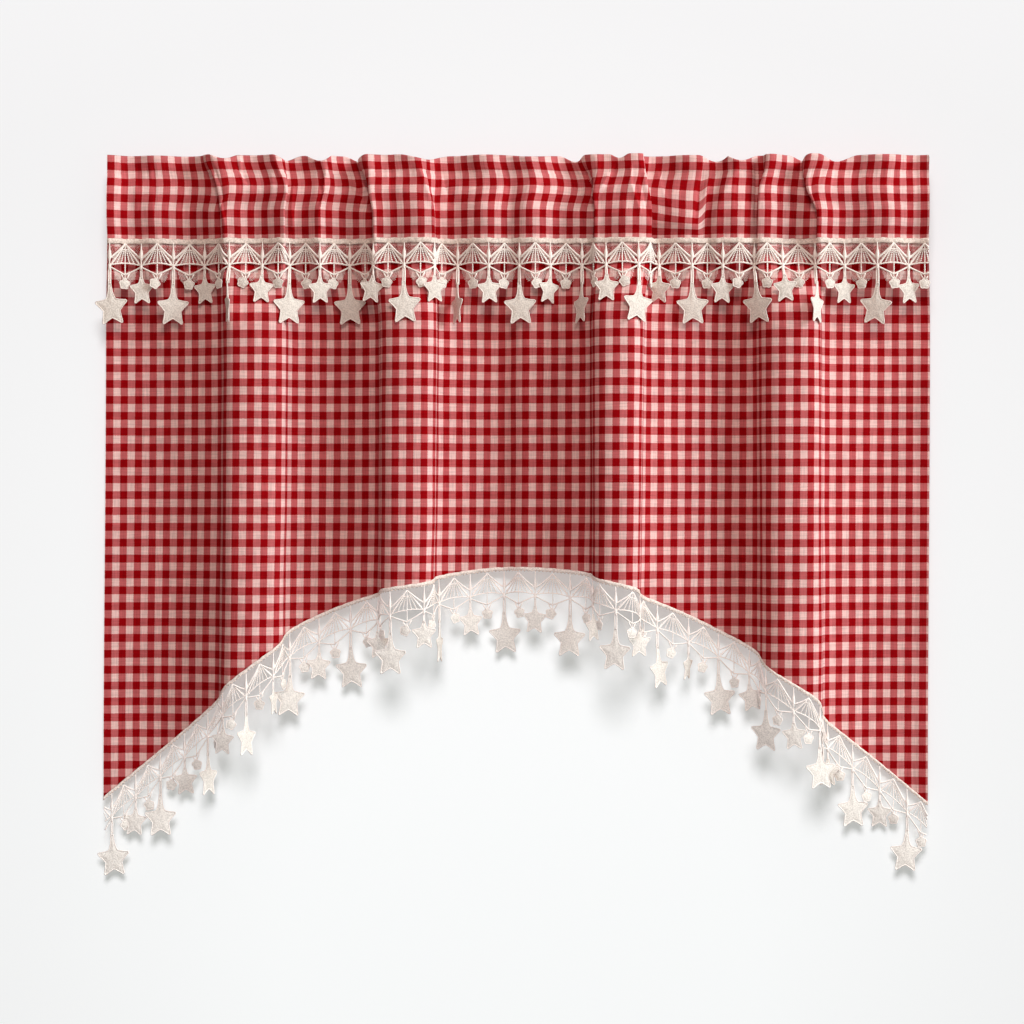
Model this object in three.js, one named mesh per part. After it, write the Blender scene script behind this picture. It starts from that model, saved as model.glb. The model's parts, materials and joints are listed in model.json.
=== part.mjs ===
// Gingham cafe curtain with a ruffled heading, an open rod pocket, an arched hem and two star lace
// trims, in the soft upright folds in which it hangs. Millimetres, +X to the right, +Z up, and the
// front faces -Y. The origin is the middle of the top edge, on the cloth's mean plane.
// A point of the cloth is named by its place in the flat cut: "across", from the left edge, and
// "drop", down from the top edge. Each level of the cloth is one section, an unbroken line of the
// cut's width that turns by the fold table's angles. The heading is gathered into tucks, and below
// its seam the cloth falls from the tucks into wider hanging folds.
import * as THREE from "three";

// Driving dimensions
const CUT_WIDTH = 1272;
const HEADING_WIDTH = 1027;
const HUNG_WIDTH = 1037;
const HUNG_SHIFT = -3;       // how far the hem hangs to the left of the heading
const CLOTH = 1.6;
const LACE = 1.2;
const SEAM_GAP = 0.3;
const HEADER_DROP = 21;      // the stitch line between the ruffle and the rod pocket
const SEAM_DROP = 105;       // the pocket's lower seam
const FOLDS_OPEN_DROP = 215; // where the heading's tucks have opened into the hanging folds
const HEM_EASE_DROP = 420;   // below this the folds soften towards the hem
const HEM_DROP = 640;

// The folds, from left to right. at: across. lead: how far the tuck leans aside at the top edge.
// slide: how far it has moved by the hem. tuckReach, foldReach: half its width in the heading and
// below. tuckTurn, foldTurn, hemTurn: the angle it turns the cloth by, in degrees, where minus
// comes towards the front. inTop, inLow: the slope of the cloth up to it, in the heading and
// below. outTop, outLow: the slope after it.
const FOLD_COLUMNS = ["at", "lead", "slide", "tuckReach", "foldReach", "tuckTurn", "foldTurn", "hemTurn",
  "inTop", "inLow", "outTop", "outLow"];
const FOLD_ROWS = [
  [0, 0, 0, 10, 10, 0, 0, 0, 0, 0, 6, 8],
  [160, -18, 2, 9, 24, -75, -54, -50, -8, -22, 6, -12],
  [256, 0, -2, 9, 26, 120, 50, 48, -4, 22, -4, 30],
  [318, 10, 0, 8, 10, 60, 0, 0, -4, 0, 4, 0],
  [402, -14, 2, 11, 36, -140, -62, -60, -6, -28, 8, -20],
  [499, -9, -2, 12, 32, 70, 60, 58, 2, 16, -6, 30],
  [617, 0, 4, 12, 30, -30, -54, -48, 2, 6, 4, 14],
  [735, -14, 4, 11, 36, -140, -58, -56, -4, -30, 6, -22],
  [828, -14, -4, 11, 38, 130, 66, 64, 0, 14, 0, 22],
  [930, 18, 0, 9, 22, -50, 16, 10, 0, 12, 6, 14],
  [1009, 0, 6, 11, 36, -130, -50, -48, -2, -32, 10, -22],
  [1112, -26, 4, 11, 38, -130, 62, 60, 0, 16, 10, 24],
  [1272, 0, 0, 10, 10, 0, 0, 0, 6, -6, 0, 0],
];
const FOLDS = FOLD_ROWS.map((row) => Object.fromEntries(FOLD_COLUMNS.map((name, i) => [name, row[i]])));

// A small ripple runs along the gathered heading.
const RIPPLE_TURN = 18;
const RIPPLE_LENGTH = 80;
const RIPPLE_DRIFT = 1.1;
const RIPPLE_DRIFT_LENGTH = 330;
// At the free top edge the tucks are shallow and wide; they close on the way down.
const TOP_TURN = 0.5;
const TOP_REACH = 2;
const TUCKS_CLOSED_DROP = 60;
const TUCKS_NARROW_DROP = 70;
// The solid cloth stops short of folding back over itself.
const STEEPEST_HEADING = 68;
const STEEPEST_HANGING = 82;

// The top edge dips where the ruffle is pinched.
const PINCHES = [
  { at: 171, deep: 5, reach: 22 },
  { at: 264, deep: 7, reach: 26 },
  { at: 315, deep: 7.5, reach: 22 },
  { at: 378, deep: 8, reach: 26 },
  { at: 487, deep: 6, reach: 40 },
  { at: 638, deep: 2.5, reach: 40 },
  { at: 700, deep: 7.5, reach: 22 },
  { at: 768, deep: 5, reach: 14 },
  { at: 928, deep: 7.5, reach: 24 },
  { at: 966, deep: 7, reach: 26 },
  { at: 1082, deep: 8.5, reach: 26 },
  { at: 1146, deep: 8.5, reach: 30 },
];

// The arched hem: its drop across the cut.
const HEM = [
  { at: 0, drop: 808 },
  { at: 100, drop: 726 },
  { at: 175, drop: 664 },
  { at: 265, drop: 601 },
  { at: 350, drop: 562 },
  { at: 480, drop: 536 },
  { at: 610, drop: 519 },
  { at: 740, drop: 529 },
  { at: 850, drop: 556 },
  { at: 945, drop: 596 },
  { at: 1040, drop: 648 },
  { at: 1120, drop: 697 },
  { at: 1200, drop: 756 },
  { at: 1272, drop: 815 },
];

// The rod pocket: its front stays nearly flat, and its back is pushed out by the rod.
const POCKET_TOP = 42;
const POCKET_BOTTOM = 84;
const FRONT_BULGE = 10;
const BACK_BULGE = 26;
const BACK_RIPPLE = 0.35;    // the back layer's share of the front's folds
const POCKET_LIP = 8;        // the sewn-shut strip at the pocket's top and bottom

// The star lace: big and medium stars hang in turn from a net.
const TAPE_TOP = 103;
const NET_DEEP = 48;
const MEDIUM_STAR_DEEP = 83;
const BIG_STAR_DEEP = 109;
const STAR_SHARE = 0.78;     // a star's share of the pitch
// The levels of the upper trim: its top, the middle and foot of its net, and its stars' tips.
const LACE_DEPTHS = [0, NET_DEEP / 2, NET_DEEP, MEDIUM_STAR_DEEP, BIG_STAR_DEEP];
const LACE_DROPS = LACE_DEPTHS.map((deep) => TAPE_TOP + deep);
// How many stars each trim has, and how far its first and last stars are from its ends.
const UPPER_STARS = { count: 28, first: 3, last: 26 };
const LOWER_STARS = { count: 33, first: 14, last: 34 };
const UPPER_CLEAR = 4.5;     // from the cloth's middle to the upper trim's middle
const LOWER_CLEAR = 2.2;
const HEM_TAPE = 5;          // how far the lower trim's tape overlaps the hem
const LACE_LOOK = 10;        // half the width over which hanging lace bridges the cloth behind it
const LACE_LEVEL = 8;
const LACE_STEP = 4;
const LACE_CLOSEST = 4;      // the narrowest column

const SECTION_STEP = 3;
const FLAT_OFFSETS = [-30, -16, -7, 0, 7, 16, 30];
const WIDEST_STEP = 30;

function smooth(from, to, value) {
  const t = Math.min(Math.max((value - from) / (to - from), 0), 1);
  return t * t * (3 - 2 * t);
}

function mix(a, b, share) {
  return a + (b - a) * share;
}

function foldCentre(fold, drop) {
  const lead = fold.lead * (1 - smooth(0, SEAM_DROP - 25, drop));
  return fold.at + lead + fold.slide * smooth(SEAM_DROP, HEM_DROP, drop);
}

// The cloth's slope between the folds, eased from each fold's slope after it to the next's before.
function slopeBetween(across, centres, after, before) {
  let i = 0;
  while (i < FOLDS.length - 2 && across > centres[i + 1]) {
    i += 1;
  }
  return mix(FOLDS[i][after], FOLDS[i + 1][before], smooth(centres[i], centres[i + 1], across));
}

function rippleAt(across) {
  const drift = RIPPLE_DRIFT * Math.sin((2 * Math.PI * across) / RIPPLE_DRIFT_LENGTH);
  return RIPPLE_TURN * Math.sin((2 * Math.PI * across) / RIPPLE_LENGTH + drift);
}

// A fold's turn at a distance from its middle. The sharper it is, the more even its turn.
function turnAt(away, reach, sharp) {
  return (1 - Math.min(Math.abs(away) / reach, 1) ** sharp) ** 2;
}

// The cloth's direction seen from above in the heading, in degrees from +X.
function headingAngle(across, drop, centres) {
  const closed = mix(TOP_TURN, 1, smooth(0, TUCKS_CLOSED_DROP, drop));
  const wide = mix(TOP_REACH, 1, smooth(0, TUCKS_NARROW_DROP, drop));
  let angle = slopeBetween(across, centres, "outTop", "inTop") + rippleAt(across);
  FOLDS.forEach((fold, i) => {
    angle += fold.tuckTurn * closed * turnAt(across - centres[i], fold.tuckReach * wide, 4);
  });
  return angle;
}

// The same below the heading.
function hangingAngle(across, drop, centres) {
  const low = smooth(HEM_EASE_DROP, HEM_DROP, drop);
  let angle = slopeBetween(across, centres, "outLow", "inLow");
  FOLDS.forEach((fold, i) => {
    angle += mix(fold.foldTurn, fold.hemTurn, low) * turnAt(across - centres[i], fold.foldReach, 2);
  });
  return angle;
}

function readLine(places, values, at) {
  let i = 0;
  while (i < places.length - 2 && at > places[i + 1]) {
    i += 1;
  }
  const share = (at - places[i]) / (places[i + 1] - places[i]);
  return mix(values[i], values[i + 1], share);
}

// The places across the cut at which a section is worked out.
const PLACES = Array.from({ length: CUT_WIDTH / SECTION_STEP + 1 }, (_, i) => i * SECTION_STEP);
const sections = new Map();

// One level of the cloth: x and y at even steps across the cut.
function sectionAt(drop) {
  const key = drop.toFixed(1);
  if (!sections.has(key)) {
    sections.set(key, makeSection(Number(key)));
  }
  return sections.get(key);
}

function makeSection(drop) {
  if (drop <= SEAM_DROP) {
    return headingSection(drop);
  }
  if (drop >= FOLDS_OPEN_DROP) {
    return hangingSection(drop);
  }
  const seam = sectionAt(SEAM_DROP);
  const open = sectionAt(FOLDS_OPEN_DROP);
  const share = smooth(SEAM_DROP, FOLDS_OPEN_DROP, drop);
  const x = seam.x.map((value, i) => mix(value, open.x[i], share));
  return { x, y: seam.y.map((value, i) => mix(value, open.y[i], share)) };
}

// The line that turns by the given angles, short of folding back, as wide as it hangs.
function walk(angleOf, steepest, width) {
  const x = [0];
  const y = [0];
  PLACES.slice(1).forEach((place, i) => {
    const angle = angleOf(place - SECTION_STEP / 2);
    const limited = THREE.MathUtils.degToRad(angle / (1 + Math.abs(angle / steepest) ** 6) ** (1 / 6));
    x.push(x[i] + Math.cos(limited) * SECTION_STEP);
    y.push(y[i] + Math.sin(limited) * SECTION_STEP);
  });
  const fit = width / x.at(-1);
  return { x: x.map((value) => value * fit - width / 2), y };
}

function centred(values) {
  const mean = values.reduce((sum, value) => sum + value, 0) / values.length;
  return values.map((value) => value - mean);
}

// The heading stays straight on its rod: each tuck's middle is on the cloth's mean plane.
function headingSection(drop) {
  const centres = FOLDS.map((fold) => foldCentre(fold, drop));
  const line = walk((across) => headingAngle(across, drop, centres), STEEPEST_HEADING, HEADING_WIDTH);
  const anchors = centres.map((centre) => readLine(PLACES, line.y, centre));
  const y = line.y.map((value, i) => value - readLine(centres, anchors, PLACES[i]));
  return { x: line.x, y: centred(y) };
}

function hangingSection(drop) {
  const centres = FOLDS.map((fold) => foldCentre(fold, drop));
  const line = walk((across) => hangingAngle(across, drop, centres), STEEPEST_HANGING, HUNG_WIDTH);
  const shift = HUNG_SHIFT * smooth(FOLDS_OPEN_DROP, HEM.at(0).drop, drop);
  const y = line.y.map((value, i) => value - (line.y.at(-1) * PLACES[i]) / CUT_WIDTH);
  return { x: line.x.map((value) => value + shift), y: centred(y) };
}

function readEven(values, across) {
  const place = Math.min(Math.max(across / SECTION_STEP, 0), values.length - 1.0001);
  const i = Math.floor(place);
  return mix(values[i], values[i + 1], place - i);
}

function clothPoint(across, drop) {
  const section = sectionAt(drop);
  return new THREE.Vector3(readEven(section.x, across), readEven(section.y, across), -drop);
}

// The cloth's front normal, from its slope across and down.
function clothNormal(across, drop) {
  const reach = SECTION_STEP;
  const left = clothPoint(Math.max(across - reach, 0), drop);
  const right = clothPoint(Math.min(across + reach, CUT_WIDTH), drop);
  const upper = clothPoint(across, drop - reach);
  const lower = clothPoint(across, drop + reach);
  return right.sub(left).cross(upper.sub(lower)).normalize();
}

function smoothTable(rows, at) {
  let i = 0;
  while (i < rows.length - 2 && at > rows[i + 1].at) {
    i += 1;
  }
  const slope = (a, b) => (rows[b].drop - rows[a].drop) / (rows[b].at - rows[a].at);
  const wide = rows[i + 1].at - rows[i].at;
  const before = slope(Math.max(i - 1, 0), i + 1);
  const after = slope(i, Math.min(i + 2, rows.length - 1));
  const t = (at - rows[i].at) / wide;
  const start = rows[i].drop * (1 + 2 * t) * (1 - t) ** 2 + wide * before * t * (1 - t) ** 2;
  return start + rows[i + 1].drop * t * t * (3 - 2 * t) + wide * after * t * t * (t - 1);
}

function hemDrop(across) {
  return smoothTable(HEM, across);
}

function topDrop(across) {
  const dips = PINCHES.map((pinch) => {
    const away = Math.min(Math.abs(across - pinch.at) / pinch.reach, 1);
    return pinch.deep * (1 - away * away) ** 2;
  });
  return Math.max(...dips, 0);
}

// Places across the cut that follow the folds, closer together where the cloth turns.
function clothStations() {
  const places = FOLDS.flatMap((fold) => FLAT_OFFSETS.map((offset) => fold.at + offset));
  const inside = places.filter((at) => at > WIDEST_STEP / 2 && at < CUT_WIDTH - WIDEST_STEP / 2);
  const sorted = [0, ...inside.sort((a, b) => a - b), CUT_WIDTH];
  const stations = [0];
  sorted.slice(1).forEach((at) => {
    const last = stations.at(-1);
    const pieces = Math.ceil((at - last) / WIDEST_STEP);
    for (let i = 1; i <= pieces; i += 1) {
      stations.push(mix(last, at, i / pieces));
    }
  });
  return stations;
}

// A closed mesh from points and the corners of its faces, turned so that its faces point out.
function solid(name, points, quads, material) {
  const triangles = quads.flatMap(([a, b, c, d]) => [[a, b, c], [a, c, d]]);
  let volume = 0;
  triangles.forEach(([a, b, c]) => {
    volume += points[a].dot(new THREE.Vector3().crossVectors(points[b], points[c]));
  });
  const index = triangles.flatMap(([a, b, c]) => (volume > 0 ? [a, b, c] : [a, c, b]));
  const geometry = new THREE.BufferGeometry().setFromPoints(points);
  geometry.setIndex(index);
  geometry.computeVertexNormals();
  const mesh = new THREE.Mesh(geometry, material);
  mesh.name = name;
  return mesh;
}

// A sheet of the given thickness from a grid of middle points and normals. Cells that filled
// refuses are left open, and the sheet gets a rim wherever it ends.
function sheet(name, columns, rows, pointAt, normalAt, thick, filled, material) {
  const points = [];
  const numbers = new Map();
  const number = (i, j, side) => {
    const key = `${i},${j},${side}`;
    if (!numbers.has(key)) {
      numbers.set(key, points.length);
      points.push(pointAt(i, j).addScaledVector(normalAt(i, j), (side * thick) / 2));
    }
    return numbers.get(key);
  };
  const open = (i, j) => i < 0 || j < 0 || i >= columns || j >= rows || !filled(i, j);
  const quads = [];
  const rim = (i0, j0, i1, j1) => {
    quads.push([number(i0, j0, 1), number(i1, j1, 1), number(i1, j1, -1), number(i0, j0, -1)]);
  };
  for (let i = 0; i < columns; i += 1) {
    for (let j = 0; j < rows; j += 1) {
      if (!open(i, j)) {
        quads.push([number(i, j, 1), number(i, j + 1, 1), number(i + 1, j + 1, 1), number(i + 1, j, 1)]);
        quads.push([number(i, j, -1), number(i + 1, j, -1), number(i + 1, j + 1, -1), number(i, j + 1, -1)]);
        if (open(i - 1, j)) rim(i, j + 1, i, j);
        if (open(i + 1, j)) rim(i + 1, j, i + 1, j + 1);
        if (open(i, j - 1)) rim(i, j, i + 1, j);
        if (open(i, j + 1)) rim(i + 1, j + 1, i, j + 1);
      }
    }
  }
  return solid(name, points, quads, material);
}

function makePanel(material) {
  const stations = clothStations();
  const upper = [SEAM_DROP + SEAM_GAP / 2, ...LACE_DROPS.slice(1)];
  const lower = [0.27, 0.62, 1];
  const dropAt = (i, j) => {
    const share = lower[j - upper.length];
    return j < upper.length ? upper[j] : mix(upper.at(-1), hemDrop(stations[i]), share);
  };
  const pointAt = (i, j) => clothPoint(stations[i], dropAt(i, j));
  const normalAt = (i, j) => clothNormal(stations[i], dropAt(i, j));
  const all = () => true;
  const rows = upper.length + lower.length - 1;
  return sheet("panel", stations.length - 1, rows, pointAt, normalAt, CLOTH, all, material);
}

// How far the pocket's layers stand out at a drop, from 0 at its seams to 1.
function pocketOpen(drop) {
  const upper = (drop - HEADER_DROP) / (POCKET_TOP - HEADER_DROP);
  const lower = (SEAM_DROP - drop) / (SEAM_DROP - POCKET_BOTTOM);
  return Math.min(Math.max(Math.min(upper, lower), 0), 1);
}

// A point of the pocket: layer 1 is its front and -1 its back, and out is the distance outwards
// from the layer's inner face.
function pocketPoint(across, drop, layer, out) {
  const middle = clothPoint(across, drop);
  const normal = clothNormal(across, drop).setZ(0).normalize();
  const open = pocketOpen(drop);
  if (layer > 0) {
    middle.y -= FRONT_BULGE * open;
    return middle.addScaledVector(normal, out);
  }
  const share = mix(1, BACK_RIPPLE, open);
  middle.y = middle.y * share + BACK_BULGE * open;
  const back = new THREE.Vector3(-normal.x * share, -normal.y, 0).normalize();
  return middle.addScaledVector(back, out);
}

function makeHeading(material) {
  const stations = clothStations();
  const bottom = SEAM_DROP - SEAM_GAP / 2;
  const outerDrops = [bottom, POCKET_BOTTOM, POCKET_TOP, HEADER_DROP];
  const innerDrops = [SEAM_DROP - POCKET_LIP, POCKET_BOTTOM, POCKET_TOP, HEADER_DROP + POCKET_LIP];
  const points = [];
  const rings = stations.map((across) => {
    const drops = [...outerDrops, topDrop(across)];
    const front = drops.map((drop) => pocketPoint(across, drop, 1, CLOTH));
    const back = drops.map((drop) => pocketPoint(across, drop, -1, CLOTH)).reverse();
    const innerFront = innerDrops.map((drop) => pocketPoint(across, drop, 1, 0));
    const innerBack = innerDrops.map((drop) => pocketPoint(across, drop, -1, 0)).reverse();
    const start = points.length;
    points.push(...front, ...back, ...innerFront, ...innerBack);
    return start;
  });
  const outerCount = 2 * (outerDrops.length + 1);
  const innerCount = 2 * innerDrops.length;
  const quads = [];
  rings.slice(1).forEach((end, i) => {
    const start = rings[i];
    for (let k = 0; k < outerCount; k += 1) {
      const next = (k + 1) % outerCount;
      quads.push([start + k, start + next, end + next, end + k]);
    }
    for (let k = 0; k < innerCount; k += 1) {
      const a = outerCount + k;
      const b = outerCount + ((k + 1) % innerCount);
      quads.push([start + b, start + a, end + a, end + b]);
    }
  });
  addPocketEnd(quads, rings[0], false);
  addPocketEnd(quads, rings.at(-1), true);
  return solid("heading", points, quads, material);
}

// The cut end of the cloth around the pocket's mouth: the outer and the inner loop are joined
// corner to corner. The outer loop has one corner more at each side, where the ruffle stands.
function addPocketEnd(quads, start, last) {
  const outer = [0, 1, 2, 3, 4, 5, 6, 7, 8, 9].map((k) => start + k);
  const inner = [0, 1, 2, 3, 4, 5, 6, 7].map((k) => start + outer.length + k);
  const faces = [
    [outer[0], outer[1], inner[1], inner[0]],
    [outer[1], outer[2], inner[2], inner[1]],
    [outer[2], outer[3], inner[3], inner[2]],
    [outer[3], outer[6], inner[4], inner[3]],
    [outer[3], outer[4], outer[5], outer[6]],
    [outer[6], outer[7], inner[5], inner[4]],
    [outer[7], outer[8], inner[6], inner[5]],
    [outer[8], outer[9], inner[7], inner[6]],
    [outer[9], outer[0], inner[0], inner[7]],
  ];
  faces.forEach((face) => quads.push(last ? face : [...face].reverse()));
}

// The y of the cloth's front at a place and level, bridging what lies behind.
function frontAt(x, drop) {
  const section = sectionAt(drop);
  let front = Infinity;
  [-LACE_LOOK, -LACE_LOOK / 2, 0, LACE_LOOK / 2, LACE_LOOK].forEach((offset) => {
    const at = Math.min(Math.max(x + offset, section.x[0]), section.x.at(-1));
    front = Math.min(front, readLine(section.x, section.y, at));
  });
  return front;
}

// The columns of a trim along its length: where each starts, and how many rows of the stars' two
// it reaches. A star takes three columns and the gap after it one.
function laceColumns(length, stars) {
  const pitch = (length - stars.first - stars.last) / (stars.count - 1);
  const half = (STAR_SHARE * pitch) / 2;
  const columns = [];
  for (let k = 0; k < stars.count; k += 1) {
    const centre = stars.first + k * pitch;
    const reach = k % 2 === 0 ? 2 : 1;
    [-half, -half / 3, half / 3].forEach((offset) => columns.push({ from: centre + offset, reach }));
    columns.push({ from: centre + half, reach: 0 });
  }
  const first = columns.findIndex((column) => column.from > LACE_CLOSEST);
  const inside = columns.filter((column) => column.from > LACE_CLOSEST && column.from < length - LACE_CLOSEST);
  return [{ from: 0, reach: columns[first - 1].reach }, ...inside, { from: length, reach: 0 }];
}

// The length along a path of points, from its start.
function lengthsAlong(points) {
  const lengths = [0];
  points.slice(1).forEach((point, i) => lengths.push(lengths[i] + point.distanceTo(points[i])));
  return lengths;
}

// The foremost cloth a trim meets on its way down to a drop.
function foremost(x, drop) {
  let front = Infinity;
  for (let level = TAPE_TOP; level < drop + LACE_LEVEL; level += LACE_LEVEL) {
    front = Math.min(front, frontAt(x, level));
  }
  return front;
}

function pathPlaces(from, to) {
  const count = Math.ceil((to - from) / LACE_STEP);
  return Array.from({ length: count + 1 }, (_, i) => mix(from, to, i / count));
}

function makeUpperLace(material) {
  const places = pathPlaces(1 - HEADING_WIDTH / 2, HEADING_WIDTH / 2 - 1);
  const netFoot = LACE_DROPS[2];
  const lengths = lengthsAlong(places.map((x) => new THREE.Vector2(x, foremost(x, netFoot))));
  const columns = laceColumns(lengths.at(-1), UPPER_STARS);
  const columnX = columns.map((column) => readLine(lengths, places, column.from));
  const heights = columnX.map((x) => LACE_DROPS.map((drop) => foremost(x, drop) - UPPER_CLEAR));
  const pointAt = (i, j) => new THREE.Vector3(columnX[i], heights[i][j], -LACE_DROPS[j]);
  const facing = () => new THREE.Vector3(0, -1, 0);
  const filled = (i, j) => j < 2 + columns[i].reach;
  const rows = LACE_DROPS.length - 1;
  return sheet("lace_upper", columns.length - 1, rows, pointAt, facing, LACE, filled, material);
}

function makeLowerLace(material) {
  const places = pathPlaces(0, CUT_WIDTH);
  const lengths = lengthsAlong(places.map((at) => new THREE.Vector2(at, hemDrop(at))));
  const columns = laceColumns(lengths.at(-1), LOWER_STARS);
  const across = columns.map((column) => readLine(lengths, places, column.from));
  const deeps = [-HEM_TAPE, ...LACE_DEPTHS.slice(2)];
  const pointAt = (i, j) => {
    const hem = hemDrop(across[i]);
    const point = clothPoint(across[i], hem - HEM_TAPE);
    const front = Math.min(point.y, frontAt(point.x, hem - HEM_TAPE), frontAt(point.x, hem));
    return new THREE.Vector3(point.x, front - LOWER_CLEAR, -hem - deeps[j]);
  };
  const facing = () => new THREE.Vector3(0, -1, 0);
  const filled = (i, j) => j < 1 + columns[i].reach;
  const rows = deeps.length - 1;
  return sheet("lace_lower", columns.length - 1, rows, pointAt, facing, LACE, filled, material);
}

const gingham = new THREE.MeshStandardMaterial({ color: 0xb8434c, roughness: 0.9, metalness: 0 });
const cottonLace = new THREE.MeshStandardMaterial({ color: 0xe9e2d6, roughness: 0.85, metalness: 0 });

const curtain = new THREE.Group();
curtain.add(makeHeading(gingham));
curtain.add(makePanel(gingham));
curtain.add(makeUpperLace(cottonLace));
curtain.add(makeLowerLace(cottonLace));

export default curtain;
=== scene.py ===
"""Cafe curtain: red and cream gingham, a ruffled rod pocket, an arched hem and two star lace trims.

The file is laid out as an add-on and is run as a script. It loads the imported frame, registers the
settings, operators and panel below, and calls one operator for each group of pieces. The making
of a piece works in millimetres, and the scene is in metres. A place on the cloth is named by its
flat cut: "across", from the left edge, and "drop", down from the top edge.
"""
import functools
import json
import math
import bpy
import numpy as np
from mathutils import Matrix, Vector

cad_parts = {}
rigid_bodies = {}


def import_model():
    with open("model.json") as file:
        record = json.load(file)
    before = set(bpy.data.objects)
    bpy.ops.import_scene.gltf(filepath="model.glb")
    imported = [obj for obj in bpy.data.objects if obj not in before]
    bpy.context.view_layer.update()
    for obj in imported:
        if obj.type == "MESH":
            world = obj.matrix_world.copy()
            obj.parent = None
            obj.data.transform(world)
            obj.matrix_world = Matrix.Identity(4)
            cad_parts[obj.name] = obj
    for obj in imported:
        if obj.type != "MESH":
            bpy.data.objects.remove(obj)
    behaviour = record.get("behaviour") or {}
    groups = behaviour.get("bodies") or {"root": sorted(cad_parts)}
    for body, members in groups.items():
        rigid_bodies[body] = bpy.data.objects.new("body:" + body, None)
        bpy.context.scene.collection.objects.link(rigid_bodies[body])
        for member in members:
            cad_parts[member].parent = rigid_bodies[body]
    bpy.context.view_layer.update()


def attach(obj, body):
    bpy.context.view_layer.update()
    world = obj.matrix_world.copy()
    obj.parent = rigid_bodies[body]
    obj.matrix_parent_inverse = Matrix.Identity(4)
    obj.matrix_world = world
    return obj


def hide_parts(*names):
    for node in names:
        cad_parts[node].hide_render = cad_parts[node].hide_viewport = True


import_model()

bl_info = {
    "name": "Gingham cafe curtain",
    "version": (1, 0, 0),
    "blender": (4, 5, 0),
    "location": "3D View > Sidebar > Curtain",
    "description": "Builds a gingham cafe curtain with star lace trims",
    "category": "Add Mesh",
}

MM = 0.001
SEED = 7

# The cut, in millimetres, as the solids have it
CUT_WIDTH = 1272.0
HEADING_WIDTH = 1027.0
HUNG_WIDTH = 1037.0
HUNG_SHIFT = -3.0
HEADER_DROP = 21.0
SEAM_DROP = 105.0
FOLDS_OPEN_DROP = 215.0
HEM_EASE_DROP = 420.0
HEM_DROP = 640.0
LOWEST_DROP = 850.0
# The hung cloth has moved sideways by HUNG_SHIFT at this drop.
SHIFTED_DROP = 800.0

# The folds, from left to right, as the solids have them: where each is, how far its tuck leans
# aside at the top edge, how far it slides by the hem, half its width in the heading and below, the
# turn it gives the cloth in the heading, below it and at the hem in degrees (minus comes forward),
# and the slope of the cloth up to it and after it, in the heading and below.
FOLD_COLUMNS = (
    "at", "lead", "slide", "tuck_reach", "fold_reach", "tuck_turn", "fold_turn", "hem_turn",
    "in_top", "in_low", "out_top", "out_low",
)
FOLD_ROWS = (
    (0, 0, 0, 10, 10, 0, 0, 0, 0, 0, 6, 8),
    (160, -18, 2, 9, 24, -75, -54, -50, -8, -22, 6, -12),
    (256, 0, -2, 9, 26, 120, 50, 48, -4, 22, -4, 30),
    (318, 10, 0, 8, 10, 60, 0, 0, -4, 0, 4, 0),
    (402, -14, 2, 11, 36, -140, -62, -60, -6, -28, 8, -20),
    (499, -9, -2, 12, 32, 70, 60, 58, 2, 16, -6, 30),
    (617, 0, 4, 12, 30, -30, -54, -48, 2, 6, 4, 14),
    (735, -14, 4, 11, 36, -140, -58, -56, -4, -30, 6, -22),
    (828, -14, -4, 11, 38, 130, 66, 64, 0, 14, 0, 22),
    (930, 18, 0, 9, 22, -50, 16, 10, 0, 12, 6, 14),
    (1009, 0, 6, 11, 36, -130, -50, -48, -2, -32, 10, -22),
    (1112, -26, 4, 11, 38, -130, 62, 60, 0, 16, 10, 24),
    (1272, 0, 0, 10, 10, 0, 0, 0, 6, -6, 0, 0),
)
FOLDS = [dict(zip(FOLD_COLUMNS, row)) for row in FOLD_ROWS]

# A tuck is wider and less closed at the free top edge, down to these drops.
TOP_CLOSED = 0.5
TOP_WIDE = 2.0
CLOSED_DROP = 60.0
NARROW_DROP = 70.0
# The ripple that runs along the gathered heading; it takes up what the tucks leave. The heading
# is walked to its span and then drawn in to its width.
RIPPLE_TURN = 18.0
RIPPLE_LENGTH = 80.0
RIPPLE_DRIFT = 1.1
DRIFT_LENGTH = 330.0
HEADING_SPAN = 1050.0
# The steepest turn, in degrees, of the back layer where the rod holds it away from the tucks
STEEPEST_BACK = 68.0


def smooth(start, end, value):
    """0 before start and 1 after end, eased between them."""
    t = np.clip((value - start) / (end - start), 0.0, 1.0)
    return t * t * (3 - 2 * t)


def mix(a, b, share):
    return a + (b - a) * share


def fold_centres(drop):
    """Where the folds are at a level."""
    lead = 1 - smooth(0, SEAM_DROP - 25, drop)
    slide = smooth(SEAM_DROP, HEM_DROP, drop)
    return np.array([f["at"] + f["lead"] * lead + f["slide"] * slide for f in FOLDS])


def slopes_between(across, centres, after, before):
    """The cloth's slope between the folds, eased from one fold's "after" to the next's "before"."""
    angle = np.zeros_like(across)
    for i in range(len(FOLDS) - 1):
        inside = (across >= centres[i]) & (across <= centres[i + 1])
        share = smooth(centres[i], centres[i + 1], across[inside])
        angle[inside] = mix(FOLDS[i][after], FOLDS[i + 1][before], share)
    return angle


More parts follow.
